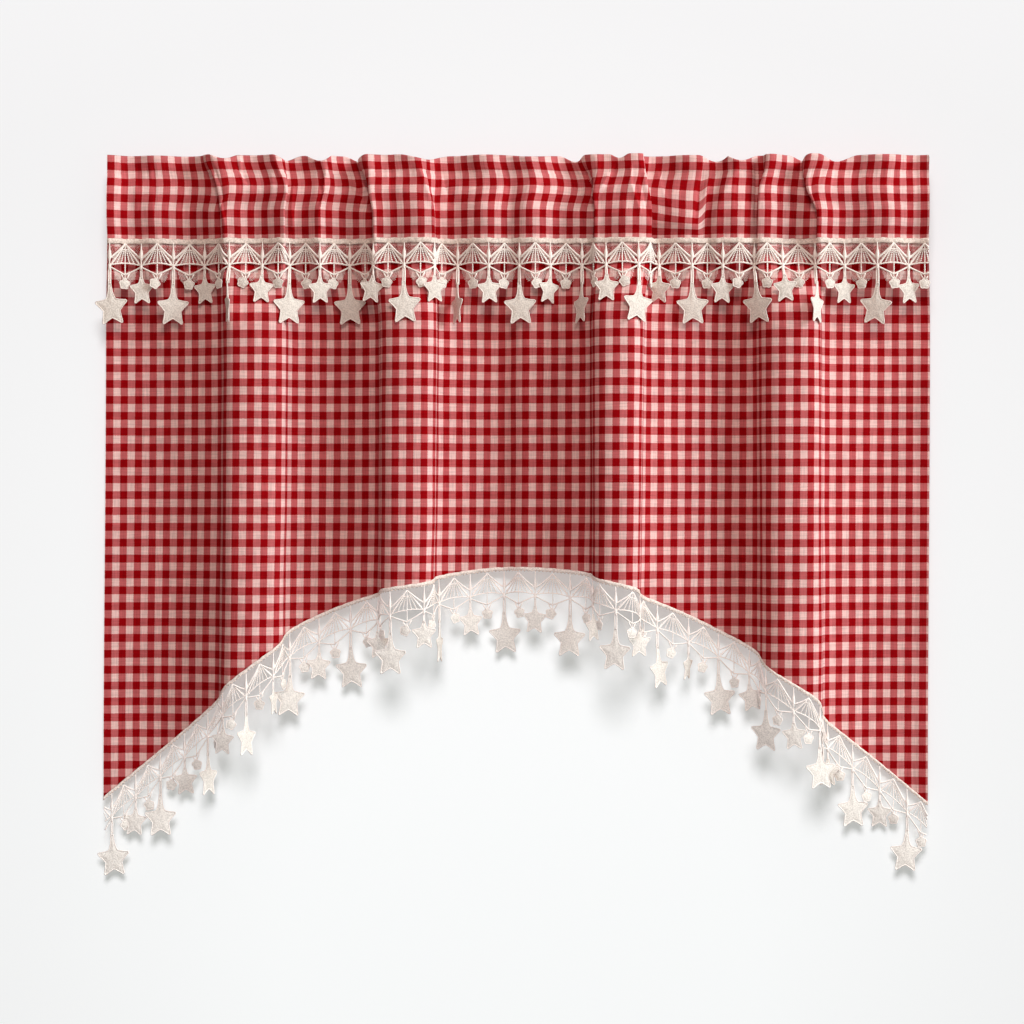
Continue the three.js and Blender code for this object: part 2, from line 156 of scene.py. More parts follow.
def heading_angle(across, drop, ripple):
    """The cloth's direction seen from above in the heading, in degrees from +X. Its tucks are
    shallow and wide at the free top edge, and close towards the seam."""
    centres = fold_centres(drop)
    angle = slopes_between(across, centres, "out_top", "in_top")
    drift = RIPPLE_DRIFT * np.sin(2 * math.pi * across / DRIFT_LENGTH)
    angle += ripple * RIPPLE_TURN * np.sin(2 * math.pi * across / RIPPLE_LENGTH + drift)
    closed = mix(TOP_CLOSED, 1.0, smooth(0, CLOSED_DROP, drop))
    wide = mix(TOP_WIDE, 1.0, smooth(0, NARROW_DROP, drop))
    for fold, centre in zip(FOLDS, centres):
        away = np.minimum(np.abs(across - centre) / (fold["tuck_reach"] * wide), 1)
        angle += fold["tuck_turn"] * closed * (1 - away**4) ** 2
    return angle


def hanging_angle(across, drop):
    """The cloth's direction seen from above below the heading, in degrees from +X."""
    centres = fold_centres(drop)
    angle = slopes_between(across, centres, "out_low", "in_low")
    low = smooth(HEM_EASE_DROP, HEM_DROP, drop)
    for fold, centre in zip(FOLDS, centres):
        away = np.minimum(np.abs(across - centre) / fold["fold_reach"], 1)
        angle += mix(fold["fold_turn"], fold["hem_turn"], low) * (1 - away**2) ** 2
    return angle


def walk(angle, limit=None):
    """x and y of a line that turns by these angles, one to each millimetre, and by no more than
    the limit."""
    if limit:
        angle = angle / (1 + np.abs(angle / limit) ** 6) ** (1 / 6)
    angle = np.radians(angle)
    x = np.concatenate([[0], np.cumsum(np.cos(angle))])
    y = np.concatenate([[0], np.cumsum(np.sin(angle))])
    return x, y


# The millimetres of the cut's width: their middles and their ends
MIDDLES = np.arange(0.5, CUT_WIDTH)
PLACES = np.arange(0, CUT_WIDTH + 1)
# The levels that are worked out are this far apart, down to where the folds are open and below.
CLOSE_STEP = 5.0
WIDE_STEP = 25.0
# The ripple is found by halving: its strongest, and how often that is halved.
STRONGEST_RIPPLE = 4.0
HALVINGS = 18


def heading_section(drop, limit):
    """One level of the heading: its x and y at every millimetre across. The ripple is as strong
    as the gathered width needs."""
    low, high = 0.0, STRONGEST_RIPPLE
    for _ in range(HALVINGS):
        ripple = (low + high) / 2
        if walk(heading_angle(MIDDLES, drop, ripple))[0][-1] > HEADING_SPAN:
            low = ripple
        else:
            high = ripple
    x, y = walk(heading_angle(MIDDLES, drop, low), limit)
    centres = fold_centres(drop)
    y = y - np.interp(PLACES, centres, np.interp(centres, PLACES, y))
    return x * HEADING_WIDTH / x[-1] - HEADING_WIDTH / 2, y - y.mean()


def hanging_section(drop, limit):
    """One level of the cloth below the heading, in the same way."""
    x, y = walk(hanging_angle(MIDDLES, drop), limit)
    y = y - mix(y[0], y[-1], PLACES / CUT_WIDTH)
    shift = HUNG_SHIFT * smooth(FOLDS_OPEN_DROP, SHIFTED_DROP, drop)
    return x * HUNG_WIDTH / x[-1] - HUNG_WIDTH / 2 + shift, y - y.mean()


class Cloth:
    """The cloth's front surface, worked out at a ladder of levels and read between them."""

    def __init__(self, limit=None):
        heading = np.arange(0, SEAM_DROP, CLOSE_STEP)
        opening = np.arange(SEAM_DROP, FOLDS_OPEN_DROP, CLOSE_STEP)
        hanging = np.arange(FOLDS_OPEN_DROP, LOWEST_DROP, WIDE_STEP)
        self.levels = np.concatenate([heading, opening, hanging])
        rows = [heading_section(drop, limit) for drop in heading]
        # Between the seam and the open folds the cloth falls straight from one to the other.
        seam = heading_section(SEAM_DROP, limit)
        first = hanging_section(FOLDS_OPEN_DROP, limit)
        for drop in opening:
            share = smooth(SEAM_DROP, FOLDS_OPEN_DROP, drop)
            rows.append((mix(seam[0], first[0], share), mix(seam[1], first[1], share)))
        rows += [hanging_section(drop, limit) for drop in hanging]
        self.x = np.array([row[0] for row in rows])
        self.y = np.array([row[1] for row in rows])

    def at(self, across, drop):
        """x and y at places given by arrays of across and drop."""
        level = np.interp(drop, self.levels, np.arange(len(self.levels)))
        row = np.minimum(level.astype(int), len(self.levels) - 2)
        down = level - row
        place = np.clip(across, 0, CUT_WIDTH - 1e-6)
        column = place.astype(int)
        along = place - column
        out = []
        for table in (self.x, self.y):
            upper = mix(table[row, column], table[row, column + 1], along)
            lower = mix(table[row + 1, column], table[row + 1, column + 1], along)
            out.append(mix(upper, lower, down))
        return out


# Where the ruffle's top edge dips: across, depth, half its width
PINCHES = (
    (171, 5.0, 22), (264, 7.0, 26), (315, 7.5, 22), (378, 8.0, 26), (487, 6.0, 40),
    (638, 2.5, 40), (700, 7.5, 22), (768, 5.0, 14), (928, 7.5, 24), (966, 7.0, 26),
    (1082, 8.5, 26), (1146, 8.5, 30),
)
# The arched hem: across, drop
HEM = (
    (0, 808), (100, 726), (175, 664), (265, 601), (350, 562), (480, 536), (610, 519), (740, 529),
    (850, 556), (945, 596), (1040, 648), (1120, 697), (1200, 756), (1272, 815),
)
# The gathers' creases: across and drop of each end, height (minus is a groove), half its width
CREASES = (
    (145, 0, 167, 82, 1.5, 4), (138, 10, 158, 80, -1.4, 5), (153, 10, 171, 88, -1.6, 5),
    (194, 0, 190, 34, 1.8, 4), (186, 12, 197, 40, -1.5, 5), (199, 22, 205, 100, 0.8, 4),
    (274, 40, 278, 104, 1.7, 4), (262, 4, 268, 60, -1.0, 5), (310, 12, 311, 70, -2.2, 7),
    (322, 16, 310, 48, 1.8, 4), (351, 36, 364, 60, 1.5, 5), (365, 26, 400, 80, 2.0, 4),
    (357, 30, 390, 86, -1.7, 5), (376, 4, 392, 44, 1.6, 4), (384, 6, 402, 50, -1.5, 5),
    (470, 12, 492, 70, 1.2, 4), (484, 14, 500, 84, -1.8, 5), (512, 16, 526, 62, -1.6, 5),
    (600, 20, 602, 100, -0.7, 6), (640, 30, 636, 98, 0.6, 7), (697, 4, 710, 78, 0.9, 3),
    (705, 0, 712, 70, 0.8, 3), (713, 18, 715, 62, -0.9, 4), (757, 24, 750, 48, 2.0, 5),
    (751, 42, 722, 82, 2.0, 5), (764, 10, 742, 70, -1.5, 5), (782, 14, 786, 38, 1.2, 3),
    (786, 34, 804, 76, 2.1, 5), (793, 20, 820, 92, -1.5, 5), (846, 12, 872, 60, 0.7, 6),
    (911, 14, 903, 84, -2.2, 5), (923, 10, 916, 60, 1.2, 5), (986, 6, 990, 104, -1.8, 5),
    (997, 8, 1001, 60, 1.1, 5), (1069, 2, 1098, 36, -1.8, 5), (1084, 6, 1108, 40, 1.5, 4),
    (1113, 20, 1122, 92, -1.6, 5), (1137, 6, 1130, 44, 1.4, 4), (1150, 14, 1140, 70, -1.0, 6),
    (1190, 8, 1196, 98, 0.6, 7), (1226, 20, 1222, 104, -0.6, 7), (60, 10, 66, 100, -0.7, 6),
    (96, 16, 92, 90, 0.7, 6), (34, 6, 42, 80, 0.6, 6), (230, 14, 228, 92, 0.6, 6),
    (430, 10, 434, 96, 0.7, 6), (560, 12, 556, 90, -0.6, 7), (960, 12, 956, 92, 0.7, 6),
    (1044, 20, 1048, 100, -0.7, 6),
)
# A crease's steep side and its easy side, in its half widths, and how sharp its crest is
STEEP_SIDE = 0.35
EASY_SIDE = 1.1
CREST = 1.4
# Where the gathers drag the cloth down: across, drop, how much, and how far to its left, right
# and up and down
DRAGS = (
    (908, 62, 11.0, 84, 14, 46), (398, 58, 3.0, 60, 14, 44), (160, 56, 2.5, 50, 14, 44),
    (714, 54, 2.5, 50, 20, 44), (1106, 50, 2.5, 50, 18, 42), (500, 46, 1.5, 36, 24, 36),
)

# The panel's checks start anew at the seam, and are drawn out a little where the folds open.
PANEL_START = 12.0
PANEL_EASE = 1.0065
PANEL_DRAWN = 6.3
DRAWN_DROPS = (140, 240)

# The cloth's unevenness: the lengths of its waves, their seed, and how much they slant
PUCKER = ((7.3, 9.1, 11.7, 15.2), SEED, 0.3)
SLOW_WAVE = ((61, 83, 127, 45), SEED + 1, 0.4)
GATHER = ((24, 31, 39, 52), SEED + 2, 0.25)
BACK_WAVE = ((9, 13, 17, 41), SEED + 3, 0.3)
PUCKER_REACH = 9
HEM_PUCKER_REACH = 14
STITCH_REACH = 1.8
STITCH_DEPTH = 0.9
TURNED_EDGE = 0.7
TURNED_WIDTH = (13, 15)
GATHERS_END = (80, 150)

# The rod pocket: how far the rod pushes out its front and its back, between which drops it does
# so in full, and how much of the folds is left in the back
FRONT_BULGE = 7.0
BULGE_FULL = (50, 76)
BACK_BULGE = 25.0
BACK_FULL = (48, 78)
BACK_RIPPLE = 0.35
# The back layer's distance from the front at their seams, its least distance behind the front's
# tucks, and the step in which that is looked for
LAYER_GAP = 1.3
REAR_GAP = 0.8
REAR_STEP = 1.5

# The star lace, by its depth below the top of its tape
TAPE_TOP = 103.5
APEX_DEEP = 7.0
CORD_DEEP = 26.0
LINE_DEEP = 31.5
KNOT_DEEP = 36.0
SWAG_DEEP = 46.0
DROPLET_DEEP = 57.5
BEAD_PITCH = 3.0
BEAD_THIN = 0.2
CORD_STEPS = 13
# The net ground, from its top to its foot, and the scallops at its foot
GROUND_PITCH = 1.7
GROUND_TOP = 5
GROUND_LONG = 62
SCALLOP_LONG = 13
SCALLOP_AT = 0.42
SCALLOP_HALF = 0.34
# How far the stars and the cords stand off the cloth, and the furthest that a star may move
STAR_GAP = 0.8
CORD_GAP = 1.0
STAR_FURTHEST = 20.0
# The knob on the strand above each star, by its depth, and its thickness in cords
KNOB = (
    (5, 0.5), (10, 0.55), (14, 0.8), (18, 1.5), (21, 1.8), (25, 1.7), (28, 0.9), (31, 0.6),
    (35, 1.4), (38, 1.5), (41, 0.8),
)
# A star's middle, its length to its width, how far above its middle it hangs and half the width
# of its bar, in its radii, and half the space between the two cords that it hangs from
BIG_STAR = {"deep": 87.5, "long": 1.19, "hang": 1.5, "bar": 0.08, "apart": 1.25}
MEDIUM_STAR = {"deep": 65.5, "long": 1.27, "hang": 1.1, "bar": 0.1, "apart": 0.8}
NOTCH = 0.53
# A padded star's profile, from its edge to its middle: shares of its radius and of its height
PAD = ((1.0, 0.3), (0.88, 0.45), (0.72, 0.8), (0.4, 1.0), (0.0, 1.05))
STAR_HEIGHT = 1.3
DROPLET_HEIGHT = 1.4
RIM = 0.7
# How much the stars' and the droplets' turns differ, in degrees: to the side and in their plane,
# and for the stars also forward. A star follows this share of the trim's own turn.
STAR_SPREAD = (6, 3.5, 4)
DROPLET_SPREAD = (16, 14)
STAR_FOLLOWS = 0.3
# How far in front of the trim's own place the stars and the droplets hang
STAR_FRONT = (0, -0.4, 0)
DROPLET_FRONT = (0, -0.6, 0)
# A tape's vertices are this far apart along it, and so are its picots.
TAPE_STEP = 2.2
PICOT_STEP = 4.6
# The trims: how many stars hang from each, how far the first and the last are from its ends, how
# far they are eased towards its start, and how far its medium ones lean to the right, in degrees;
# the stars that hang turned to one side, by their number from the left, in degrees; where its
# tape lies, and whether that has picots; and its cords and thread against the settings.
TRIMS = {
    "upper": {
        "count": 28, "first": 3.0, "last": 26.0, "ease": 0.0, "lean": 15.0,
        "turns": {3: -20, 4: -78, 12: -70, 16: -66, 19: -24, 22: -30, 24: 62},
        "top": 0.5, "picots": False, "cord": 1.0, "thread": 1.0, "seed": 11,
    },
    "lower": {
        "count": 33, "first": 14.0, "last": 34.0, "ease": 20.0, "lean": 0.0,
        "turns": {4: 62, 6: 60, 7: 76, 14: 80, 19: 50, 22: 52, 23: 66},
        "top": 0.0, "picots": True, "cord": 0.8, "thread": 0.6, "seed": 12,
    },
}


def curve_through(rows, at):
    """A smooth curve through a table of (place, value), read at the places given."""
    places = np.array([r[0] for r in rows], float)
    values = np.array([r[1] for r in rows], float)
    slopes = np.gradient(values, places)
    i = np.clip(np.searchsorted(places, at) - 1, 0, len(places) - 2)
    wide = places[i + 1] - places[i]
    t = (at - places[i]) / wide
    return (
        values[i] * (1 + 2 * t) * (1 - t) ** 2
        + wide * slopes[i] * t * (1 - t) ** 2
        + values[i + 1] * t * t * (3 - 2 * t)
        + wide * slopes[i + 1] * t * t * (t - 1)
    )


def hem_drop(across):
    """The hem's drop."""
    return curve_through(HEM, across)


def top_drop(across):
    """How far the ruffle's free edge dips."""
    dips = [
        deep * (1 - np.minimum(np.abs(across - at) / reach, 1) ** 2) ** 2
        for at, deep, reach in PINCHES
    ]
    return np.maximum.reduce(dips)


def waves(across, drop, lengths, seed, slant):
    """A gentle irregular wave of about unit height, made of a few sines."""
    rng = np.random.default_rng(seed)
    total = np.zeros(np.broadcast(across, drop).shape)
    for length in lengths:
        phase, lean, weight = rng.uniform(0, 2 * math.pi), rng.uniform(-1, 1), rng.uniform(0.6, 1)
        total += weight * np.sin(2 * math.pi * (across + slant * lean * drop) / length + phase)
    return total / len(lengths)


# Meshes


class Bag:
    """Vertices, faces and flat places gathered from many small parts into one mesh."""

    def __init__(self):
        self.points, self.faces, self.flat, self.count = [], [], [], 0

    def add(self, points, faces, flat=None):
        points = np.asarray(points, float)
        self.points.append(points)
        self.faces.append(np.asarray(faces, int) + self.count)
        self.flat.append(np.zeros((len(points), 2)) if flat is None else np.asarray(flat, float))
        self.count += len(points)

    def make(self, name, material):
        """One object from all quads and triangles; a triangle repeats its last corner."""
        points = np.concatenate(self.points) * MM
        faces = np.concatenate(self.faces)
        flat = np.concatenate(self.flat) * MM
        mesh = bpy.data.meshes.new(name)
        sizes = np.where(faces[:, 2] == faces[:, 3], 3, 4)
        keep = np.ones_like(faces, bool)
        keep[:, 3] = sizes == 4
        loops = faces[keep]
        mesh.vertices.add(len(points))
        mesh.vertices.foreach_set("co", points.ravel())
        mesh.loops.add(len(loops))
        mesh.loops.foreach_set("vertex_index", loops)
        mesh.polygons.add(len(sizes))
        mesh.polygons.foreach_set("loop_start", np.concatenate([[0], np.cumsum(sizes)[:-1]]))
        mesh.update(calc_edges=True)
        mesh.validate()
        layer = mesh.uv_layers.new(name="flat")
        corner = np.zeros(len(mesh.loops), int)
        mesh.loops.foreach_get("vertex_index", corner)
        layer.data.foreach_set("uv", flat[corner].ravel())
        mesh.polygons.foreach_set("use_smooth", [True] * len(mesh.polygons))
        mesh.materials.append(material)
        piece = bpy.data.objects.new(name, mesh)
        bpy.context.scene.collection.objects.link(piece)
        return piece


def grid_faces(rows, columns):
    index = np.arange(rows * columns).reshape(rows, columns)
    return np.stack(
        [index[:-1, :-1], index[1:, :-1], index[1:, 1:], index[:-1, 1:]], axis=-1
    ).reshape(-1, 4)


def unit(vectors):
    return vectors / np.maximum(np.linalg.norm(vectors, axis=-1, keepdims=True), 1e-9)


def grid_normals(points):
    """The normals of a grid of points, turned so that they face the front on the whole."""
    normals = unit(np.cross(np.gradient(points, axis=1), np.gradient(points, axis=0)))
    return -normals if normals[..., 1].mean() > 0 else normals


def ring_faces(count, sides, closed=False):
    """The side faces of a tube of rings, and its two end caps where it is open."""
    ring = np.arange(count if closed else count - 1)
    after = (ring + 1) % count
    faces = []
    for k in range(sides):
        n = (k + 1) % sides
        faces.append(
            np.stack([ring * sides + k, ring * sides + n, after * sides + n, after * sides + k], -1)
        )
    if not closed:
        end = (count - 1) * sides
        for k in range(1, sides - 1):
            faces.append(np.array([[0, k + 1, k, k], [end, end + k, end + k + 1, end + k + 1]]))
    return np.concatenate(faces)


def tube(bag, path, radius, sides=5):
    """A round cord along a path; the radius may change along it."""
    path = np.asarray(path, float)
    radius = np.broadcast_to(np.asarray(radius, float), len(path))
    along = unit(np.gradient(path, axis=0))
    helper = np.where(np.abs(along[:, 1:2]) > 0.9, [[1.0, 0, 0]], [[0, 1.0, 0]])
    side = unit(np.cross(along, helper))
    other = np.cross(side, along)
    turn = (2 * math.pi * np.arange(sides) / sides)[None, :, None]
    ring = side[:, None] * np.cos(turn) + other[:, None] * np.sin(turn)
    points = path[:, None] + ring * radius[:, None, None]
    bag.add(points.reshape(-1, 3), ring_faces(len(path), sides))


def loop_tube(bag, loop, radius, sides=5):
    """A round cord along a nearly flat closed loop."""
    along = unit(np.roll(loop, -1, axis=0) - np.roll(loop, 1, axis=0))
    plane = unit(np.cross(loop - loop.mean(0), along).sum(0))
    side = unit(np.cross(along, plane))
    turn = (2 * math.pi * np.arange(sides) / sides)[None, :, None]
    ring = side[:, None] * np.cos(turn) + plane[None, None, :] * np.sin(turn)
    points = loop[:, None] + ring * radius
    bag.add(points.reshape(-1, 3), ring_faces(len(loop), sides, closed=True)[:, ::-1])


# The cloth pieces


def drag(across, drop):
    """How far below its drop the gathers pull a place of the heading."""
    total = np.zeros(np.broadcast(across, drop).shape)
    for at, deep, much, left, right, high in DRAGS:
        wide = np.where(across < at, left, right)
        a = 1 - np.minimum(np.abs(across - at) / wide, 1) ** 2
        d = 1 - np.minimum(np.abs(drop - deep) / high, 1) ** 2
        total += much * a * a * d * d
    return total


def cloth_grid(cloth, across, drop):
    """Where places of the cloth hang, before the finer unevenness."""
    x, y = cloth.at(across, drop)
    return np.stack([x, y, -drop - drag(across, drop)], axis=-1)


def creases(across, drop):
    """The height of the creases that run down from the gathers. A ridge is steep on its right and
    a groove on its left."""
    total = np.zeros(np.broadcast(across, drop).shape)
    for a0, d0, a1, d1, height, wide in CREASES:
        long = (a1 - a0) ** 2 + (d1 - d0) ** 2
        t = ((across - a0) * (a1 - a0) + (drop - d0) * (d1 - d0)) / long
        off = ((across - a0) * (d1 - d0) - (drop - d0) * (a1 - a0)) / math.sqrt(long)
        reach = np.where((off > 0) == (height > 0), STEEP_SIDE * wide, EASY_SIDE * wide)
        fade = smooth(-0.1, 0.25, t) * (1 - smooth(0.6, 1.15, t))
        total += height * fade * np.exp(-(np.abs(off / reach) ** CREST))
    return total


def near_line(away, reach):
    """1 on a line of stitches, and 0 away from it."""
    return np.exp(-((away / reach) ** 2))


def crumple(points, across, drop):
    """Small unevenness of hand-sewn cotton: puckers at the seams, the gathers' creases, a slow
    wave elsewhere, and the turned edges' extra thickness."""
    pucker = waves(across, drop, *PUCKER)
    move = 0.5 * pucker * near_line(drop - HEADER_DROP, PUCKER_REACH)
    move += 0.6 * pucker * near_line(drop - SEAM_DROP, PUCKER_REACH)
    move += 0.5 * pucker * near_line(drop - hem_drop(across), HEM_PUCKER_REACH)
    move += 0.8 * waves(across, drop, *SLOW_WAVE)
    gathers = 0.7 * waves(across, drop, *GATHER) + 1.6 * creases(across, drop)
    move += gathers * (1 - smooth(*GATHERS_END, drop))
    # Where the cloth turns away into a fold, or back under it, there is no room for them.
    move *= smooth(0.1, 0.45, np.gradient(points[..., 0], axis=1) / np.gradient(across, axis=1))
    stitch = STITCH_DEPTH * near_line(drop - HEADER_DROP, STITCH_REACH)
    side = np.minimum(across, CUT_WIDTH - across)
    turned = TURNED_EDGE * (1 - smooth(*TURNED_WIDTH, side))
    return points + grid_normals(points) * (move - stitch + turned)[..., None]


def front_bulge(drop):
    """How far the rod pushes out the pocket's front."""
    first, last = BULGE_FULL
    return FRONT_BULGE * smooth(HEADER_DROP, first, drop) * (1 - smooth(last, SEAM_DROP - 2, drop))


def front_layer(cloth, across, drop):
    """The cloth's front, with what the rod and the sewing do to it."""
    points = cloth_grid(cloth, across, drop)
    points[..., 1] -= front_bulge(drop)
    return crumple(points, across, drop)


def rear_of(row, x):
    """The rearmost y that a row of points reaches within two steps of each x."""
    places = np.arange(row[:, 0].min(), row[:, 0].max(), REAR_STEP)
    slot = np.minimum(((row[:, 0] - places[0]) / REAR_STEP).round().astype(int), len(places) - 1)
    rear = np.full(len(places), -np.inf)
    np.maximum.at(rear, slot, row[:, 1])
    known = np.isfinite(rear)
    rear = np.pad(np.interp(places, places[known], rear[known]), 2, "edge")
    rear = np.lib.stride_tricks.sliding_window_view(rear, 5).max(axis=1)
    return np.interp(x, places, rear)


def back_layer(cloth, limited, across, drop):
    """The turned-down back of the heading: close behind the front at its seams, pushed out by the
    rod between them."""
    near = crumple(cloth_grid(cloth, across, drop), across, drop)
    near = near - grid_normals(near) * LAYER_GAP
    far = cloth_grid(limited, across, drop)
    far[..., 1] = far[..., 1] * BACK_RIPPLE + BACK_BULGE
    first, last = BACK_FULL
    out = smooth(HEADER_DROP, first, drop) * (1 - smooth(last, SEAM_DROP, drop))
    points = mix(near, far, out[..., None])
    move = 0.8 * waves(across, drop, *BACK_WAVE)
    points = points - grid_normals(points) * move[..., None]
    # Between its seams it stays behind the front's closed tucks.
    held = smooth(HEADER_DROP - 2, HEADER_DROP + 4, drop)
    held = held * (1 - smooth(SEAM_DROP - 3, SEAM_DROP, drop))
    for row, front, hold in zip(points, front_layer(cloth, across, drop), held):
        row[:, 1] += hold * np.maximum(rear_of(front, row[:, 0]) + REAR_GAP - row[:, 1], 0)
    return points


COLUMNS = np.linspace(0, CUT_WIDTH, 637)
FINE_COLUMNS = np.linspace(0, CUT_WIDTH, 1041)
FRONT_ROWS = 54
BACK_ROWS = 34
# The panel's rows are closer in its top fifth, where the folds open.
PANEL_SHARES = np.concatenate([np.linspace(0, 0.2, 34)[:-1], np.linspace(0.2, 1, 78)])


def make_heading(cloth, limited, material):
    """The ruffle and the rod pocket: one cloth, from the seam up the front and down the back."""
    top = top_drop(FINE_COLUMNS)
    front_drop = mix(SEAM_DROP, top[None, :], np.linspace(0, 1, FRONT_ROWS)[:, None])
    back_drop = mix(top[None, :], SEAM_DROP, np.linspace(0, 1, BACK_ROWS)[1:, None])
    across_f = np.broadcast_to(FINE_COLUMNS, front_drop.shape)
    across_b = np.broadcast_to(FINE_COLUMNS, back_drop.shape)
    front = front_layer(cloth, across_f, front_drop)
    back = back_layer(cloth, limited, across_b, back_drop)
    points = np.concatenate([front, back])
    flat_drop = np.concatenate([front_drop, -back_drop])
    across = np.concatenate([across_f, across_b])
    bag = Bag()
    faces = grid_faces(*points.shape[:2])[:, ::-1]
    bag.add(points.reshape(-1, 3), faces, np.stack([across, flat_drop], axis=-1).reshape(-1, 2))
    return bag.make("heading_cloth", material)


def make_panel(cloth, material):
    """The cloth from the seam down to the arched hem."""
    drop = mix(SEAM_DROP, hem_drop(COLUMNS)[None, :], PANEL_SHARES[:, None])
    across = np.broadcast_to(COLUMNS, drop.shape)
    points = front_layer(cloth, across, drop)
    bag = Bag()
    flat_drop = drop * PANEL_EASE - PANEL_START + PANEL_DRAWN * (1 - smooth(*DRAWN_DROPS, drop))
    flat = np.stack([across, flat_drop], axis=-1).reshape(-1, 2)
    bag.add(points.reshape(-1, 3), grid_faces(*points.shape[:2]), flat)
    return bag.make("panel_cloth", material)


# The lace


class LacePath:
    """Maps a place in the flat trim, along and deep, to where it hangs."""

    def __init__(self, hangs, deeps, lengths, fronts=None):
        self.hangs, self.deeps, self.lengths, self.fronts = hangs, deeps, lengths, fronts
        self.length = lengths[-1]

    def at(self, along, deep):
        """Where places of the trim hang."""
        along, deep = np.broadcast_arrays(np.asarray(along, float), np.asarray(deep, float))
        place = np.interp(along, self.lengths, np.arange(len(self.lengths)))
        i = np.minimum(place.astype(int), len(self.lengths) - 2)
        level = np.interp(deep, self.deeps, np.arange(len(self.deeps)))
        j = np.minimum(level.astype(int), len(self.deeps) - 2)
        t, s = (place - i)[..., None], (level - j)[..., None]
        upper = mix(self.hangs[j, i], self.hangs[j, i + 1], t)
        lower = mix(self.hangs[j + 1, i], self.hangs[j + 1, i + 1], t)
        return mix(upper, lower, s)

    def behind(self, points, gap):
        """How far behind its place clear of the cloth each point lies."""
        if self.fronts is None:
            return np.zeros(len(points))
        places, drops, front = self.fronts
        column = np.interp(points[:, 0], places, np.arange(len(places))).round().astype(int)
        row = np.interp(-points[:, 2], drops, np.arange(len(drops))).round().astype(int)
        return np.maximum(points[:, 1] - front[row, column] + gap, 0)

    def clear(self, points):
        """How far forward the points must move to hang clear of the cloth behind them."""
        return min(float(self.behind(points, STAR_GAP).max()), STAR_FURTHEST)

    def ease(self, bag):
        """Moves a bag's points forward, one by one, to lie clear of the cloth."""
        for points in bag.points:
            points[:, 1] -= self.behind(points, CORD_GAP)

    def yaw(self, along, deep):
        """Which way the trim faces at a place, from the places 9 mm to each side of it."""
        a = self.at(along - 9.0, deep)
        b = self.at(along + 9.0, deep)
        return math.atan2(b[1] - a[1], b[0] - a[0])


# The depths at which the two trims' paths are worked out. The upper net stands clear of the cloth,
# and its stars clear of the folds' sides, by these distances at these depths.
UPPER_DEEPS = np.array([0, 4, 8, 16, 24, 34, 44, 56, 70, 90, 115.0])
UPPER_CLEAR = ([0, 8, 34, 115], [2.0, 2.4, 3.2, 4.2])
LOWER_DEEPS = np.array([0, 8, 34, 60, 115.0])
# The lower tape lies in front of the cloth, and its top is above the hem.
LOWER_CLEAR = 1.6
LOWER_RISE = 4
# The trims' cloth behind is read in this step across and this step down, down to this depth.
FRONT_STEP = 1.5
DOWN_STEP = 4.0
DOWN_REACH = 121


def blur(values, count):
    """A running mean with its ends held."""
    kernel = np.hanning(2 * count + 3)[1:-1]
    return np.convolve(np.pad(values, count, "edge"), kernel / kernel.sum(), "valid")


def front_profile(cloth, drop, places):
    """The foremost y of the cloth at each x, at one level."""
    across = np.arange(0, CUT_WIDTH, 0.5)
    level = np.full_like(across, drop)
    x, y = cloth.at(across, level)
    y = y - front_bulge(level)
    slot = ((x - places[0]) / (places[1] - places[0])).round().astype(int)
    slot = np.clip(slot, 0, len(places) - 1)
    front = np.full(len(places), np.inf)
    np.minimum.at(front, slot, y)
    known = np.isfinite(front)
    return np.interp(places, places[known], front[known])


def upper_path(cloth):
    """The upper trim follows the foremost cloth it meets on its way down."""
    places = np.arange(-HEADING_WIDTH / 2 + 0.5, HEADING_WIDTH / 2, FRONT_STEP)
    fronts = []
    front = np.full(len(places), np.inf)
    for deep in UPPER_DEEPS:
        front = np.minimum(front, front_profile(cloth, TAPE_TOP + deep, places))
        fronts.append(blur(np.minimum(blur(front, 3), front), 2))
    y = np.array(fronts) - np.interp(UPPER_DEEPS, *UPPER_CLEAR)[:, None]
    x = np.broadcast_to(places, y.shape)
    z = np.broadcast_to(-(TAPE_TOP + UPPER_DEEPS)[:, None], y.shape)
    hangs = np.stack([x, y, z], axis=-1)
    # The trim's length is that of its line at the depth of the swags.
    steps = np.linalg.norm(np.diff(hangs[6][:, :2], axis=0), axis=1)
    drops = np.arange(TAPE_TOP, TAPE_TOP + DOWN_REACH, DOWN_STEP)
    front = np.array([front_profile(cloth, drop, places) for drop in drops])
    fronts = (places, drops, front)
    return LacePath(hangs, UPPER_DEEPS, np.concatenate([[0], np.cumsum(steps)]), fronts)


def lower_path(cloth):
    """The lower trim is sewn along the hem, and its stars hang straight down from it."""
    across = np.arange(0, CUT_WIDTH + 0.1, 2.0)
    hem = hem_drop(across)
    edge = cloth_grid(cloth, across[None, :], hem[None, :])[0]
    edge[:, 1] -= LOWER_CLEAR
    steps = np.hypot(np.diff(across), np.diff(hem))
    loose = edge.copy()
    loose[:, 0] = blur(edge[:, 0], 8)
    loose[:, 1] = blur(edge[:, 1], 8)
    hangs = []
    for deep in LOWER_DEEPS:
        row = mix(edge, loose, smooth(5, 60, deep))
        row[:, 2] = edge[:, 2] - deep + LOWER_RISE
        hangs.append(row)
    return LacePath(np.array(hangs), LOWER_DEEPS, np.concatenate([[0], np.cumsum(steps)]))


# The depths of a fan's cords, at a share of the way from its middle (0) to its knots (1)


def outer_cord(share):
    return mix(APEX_DEEP, CORD_DEEP, 1.2 * share - 0.2 * share**2)


def inner_cord(share):
    return mix(APEX_DEEP, KNOT_DEEP, 1.1 * share - 0.1 * share**2)


def swag(share):
    return mix(SWAG_DEEP, KNOT_DEEP, 0.9 * share + 0.1 * share**2)


def arched_line(share):
    return LINE_DEEP + 3.0 * share**2


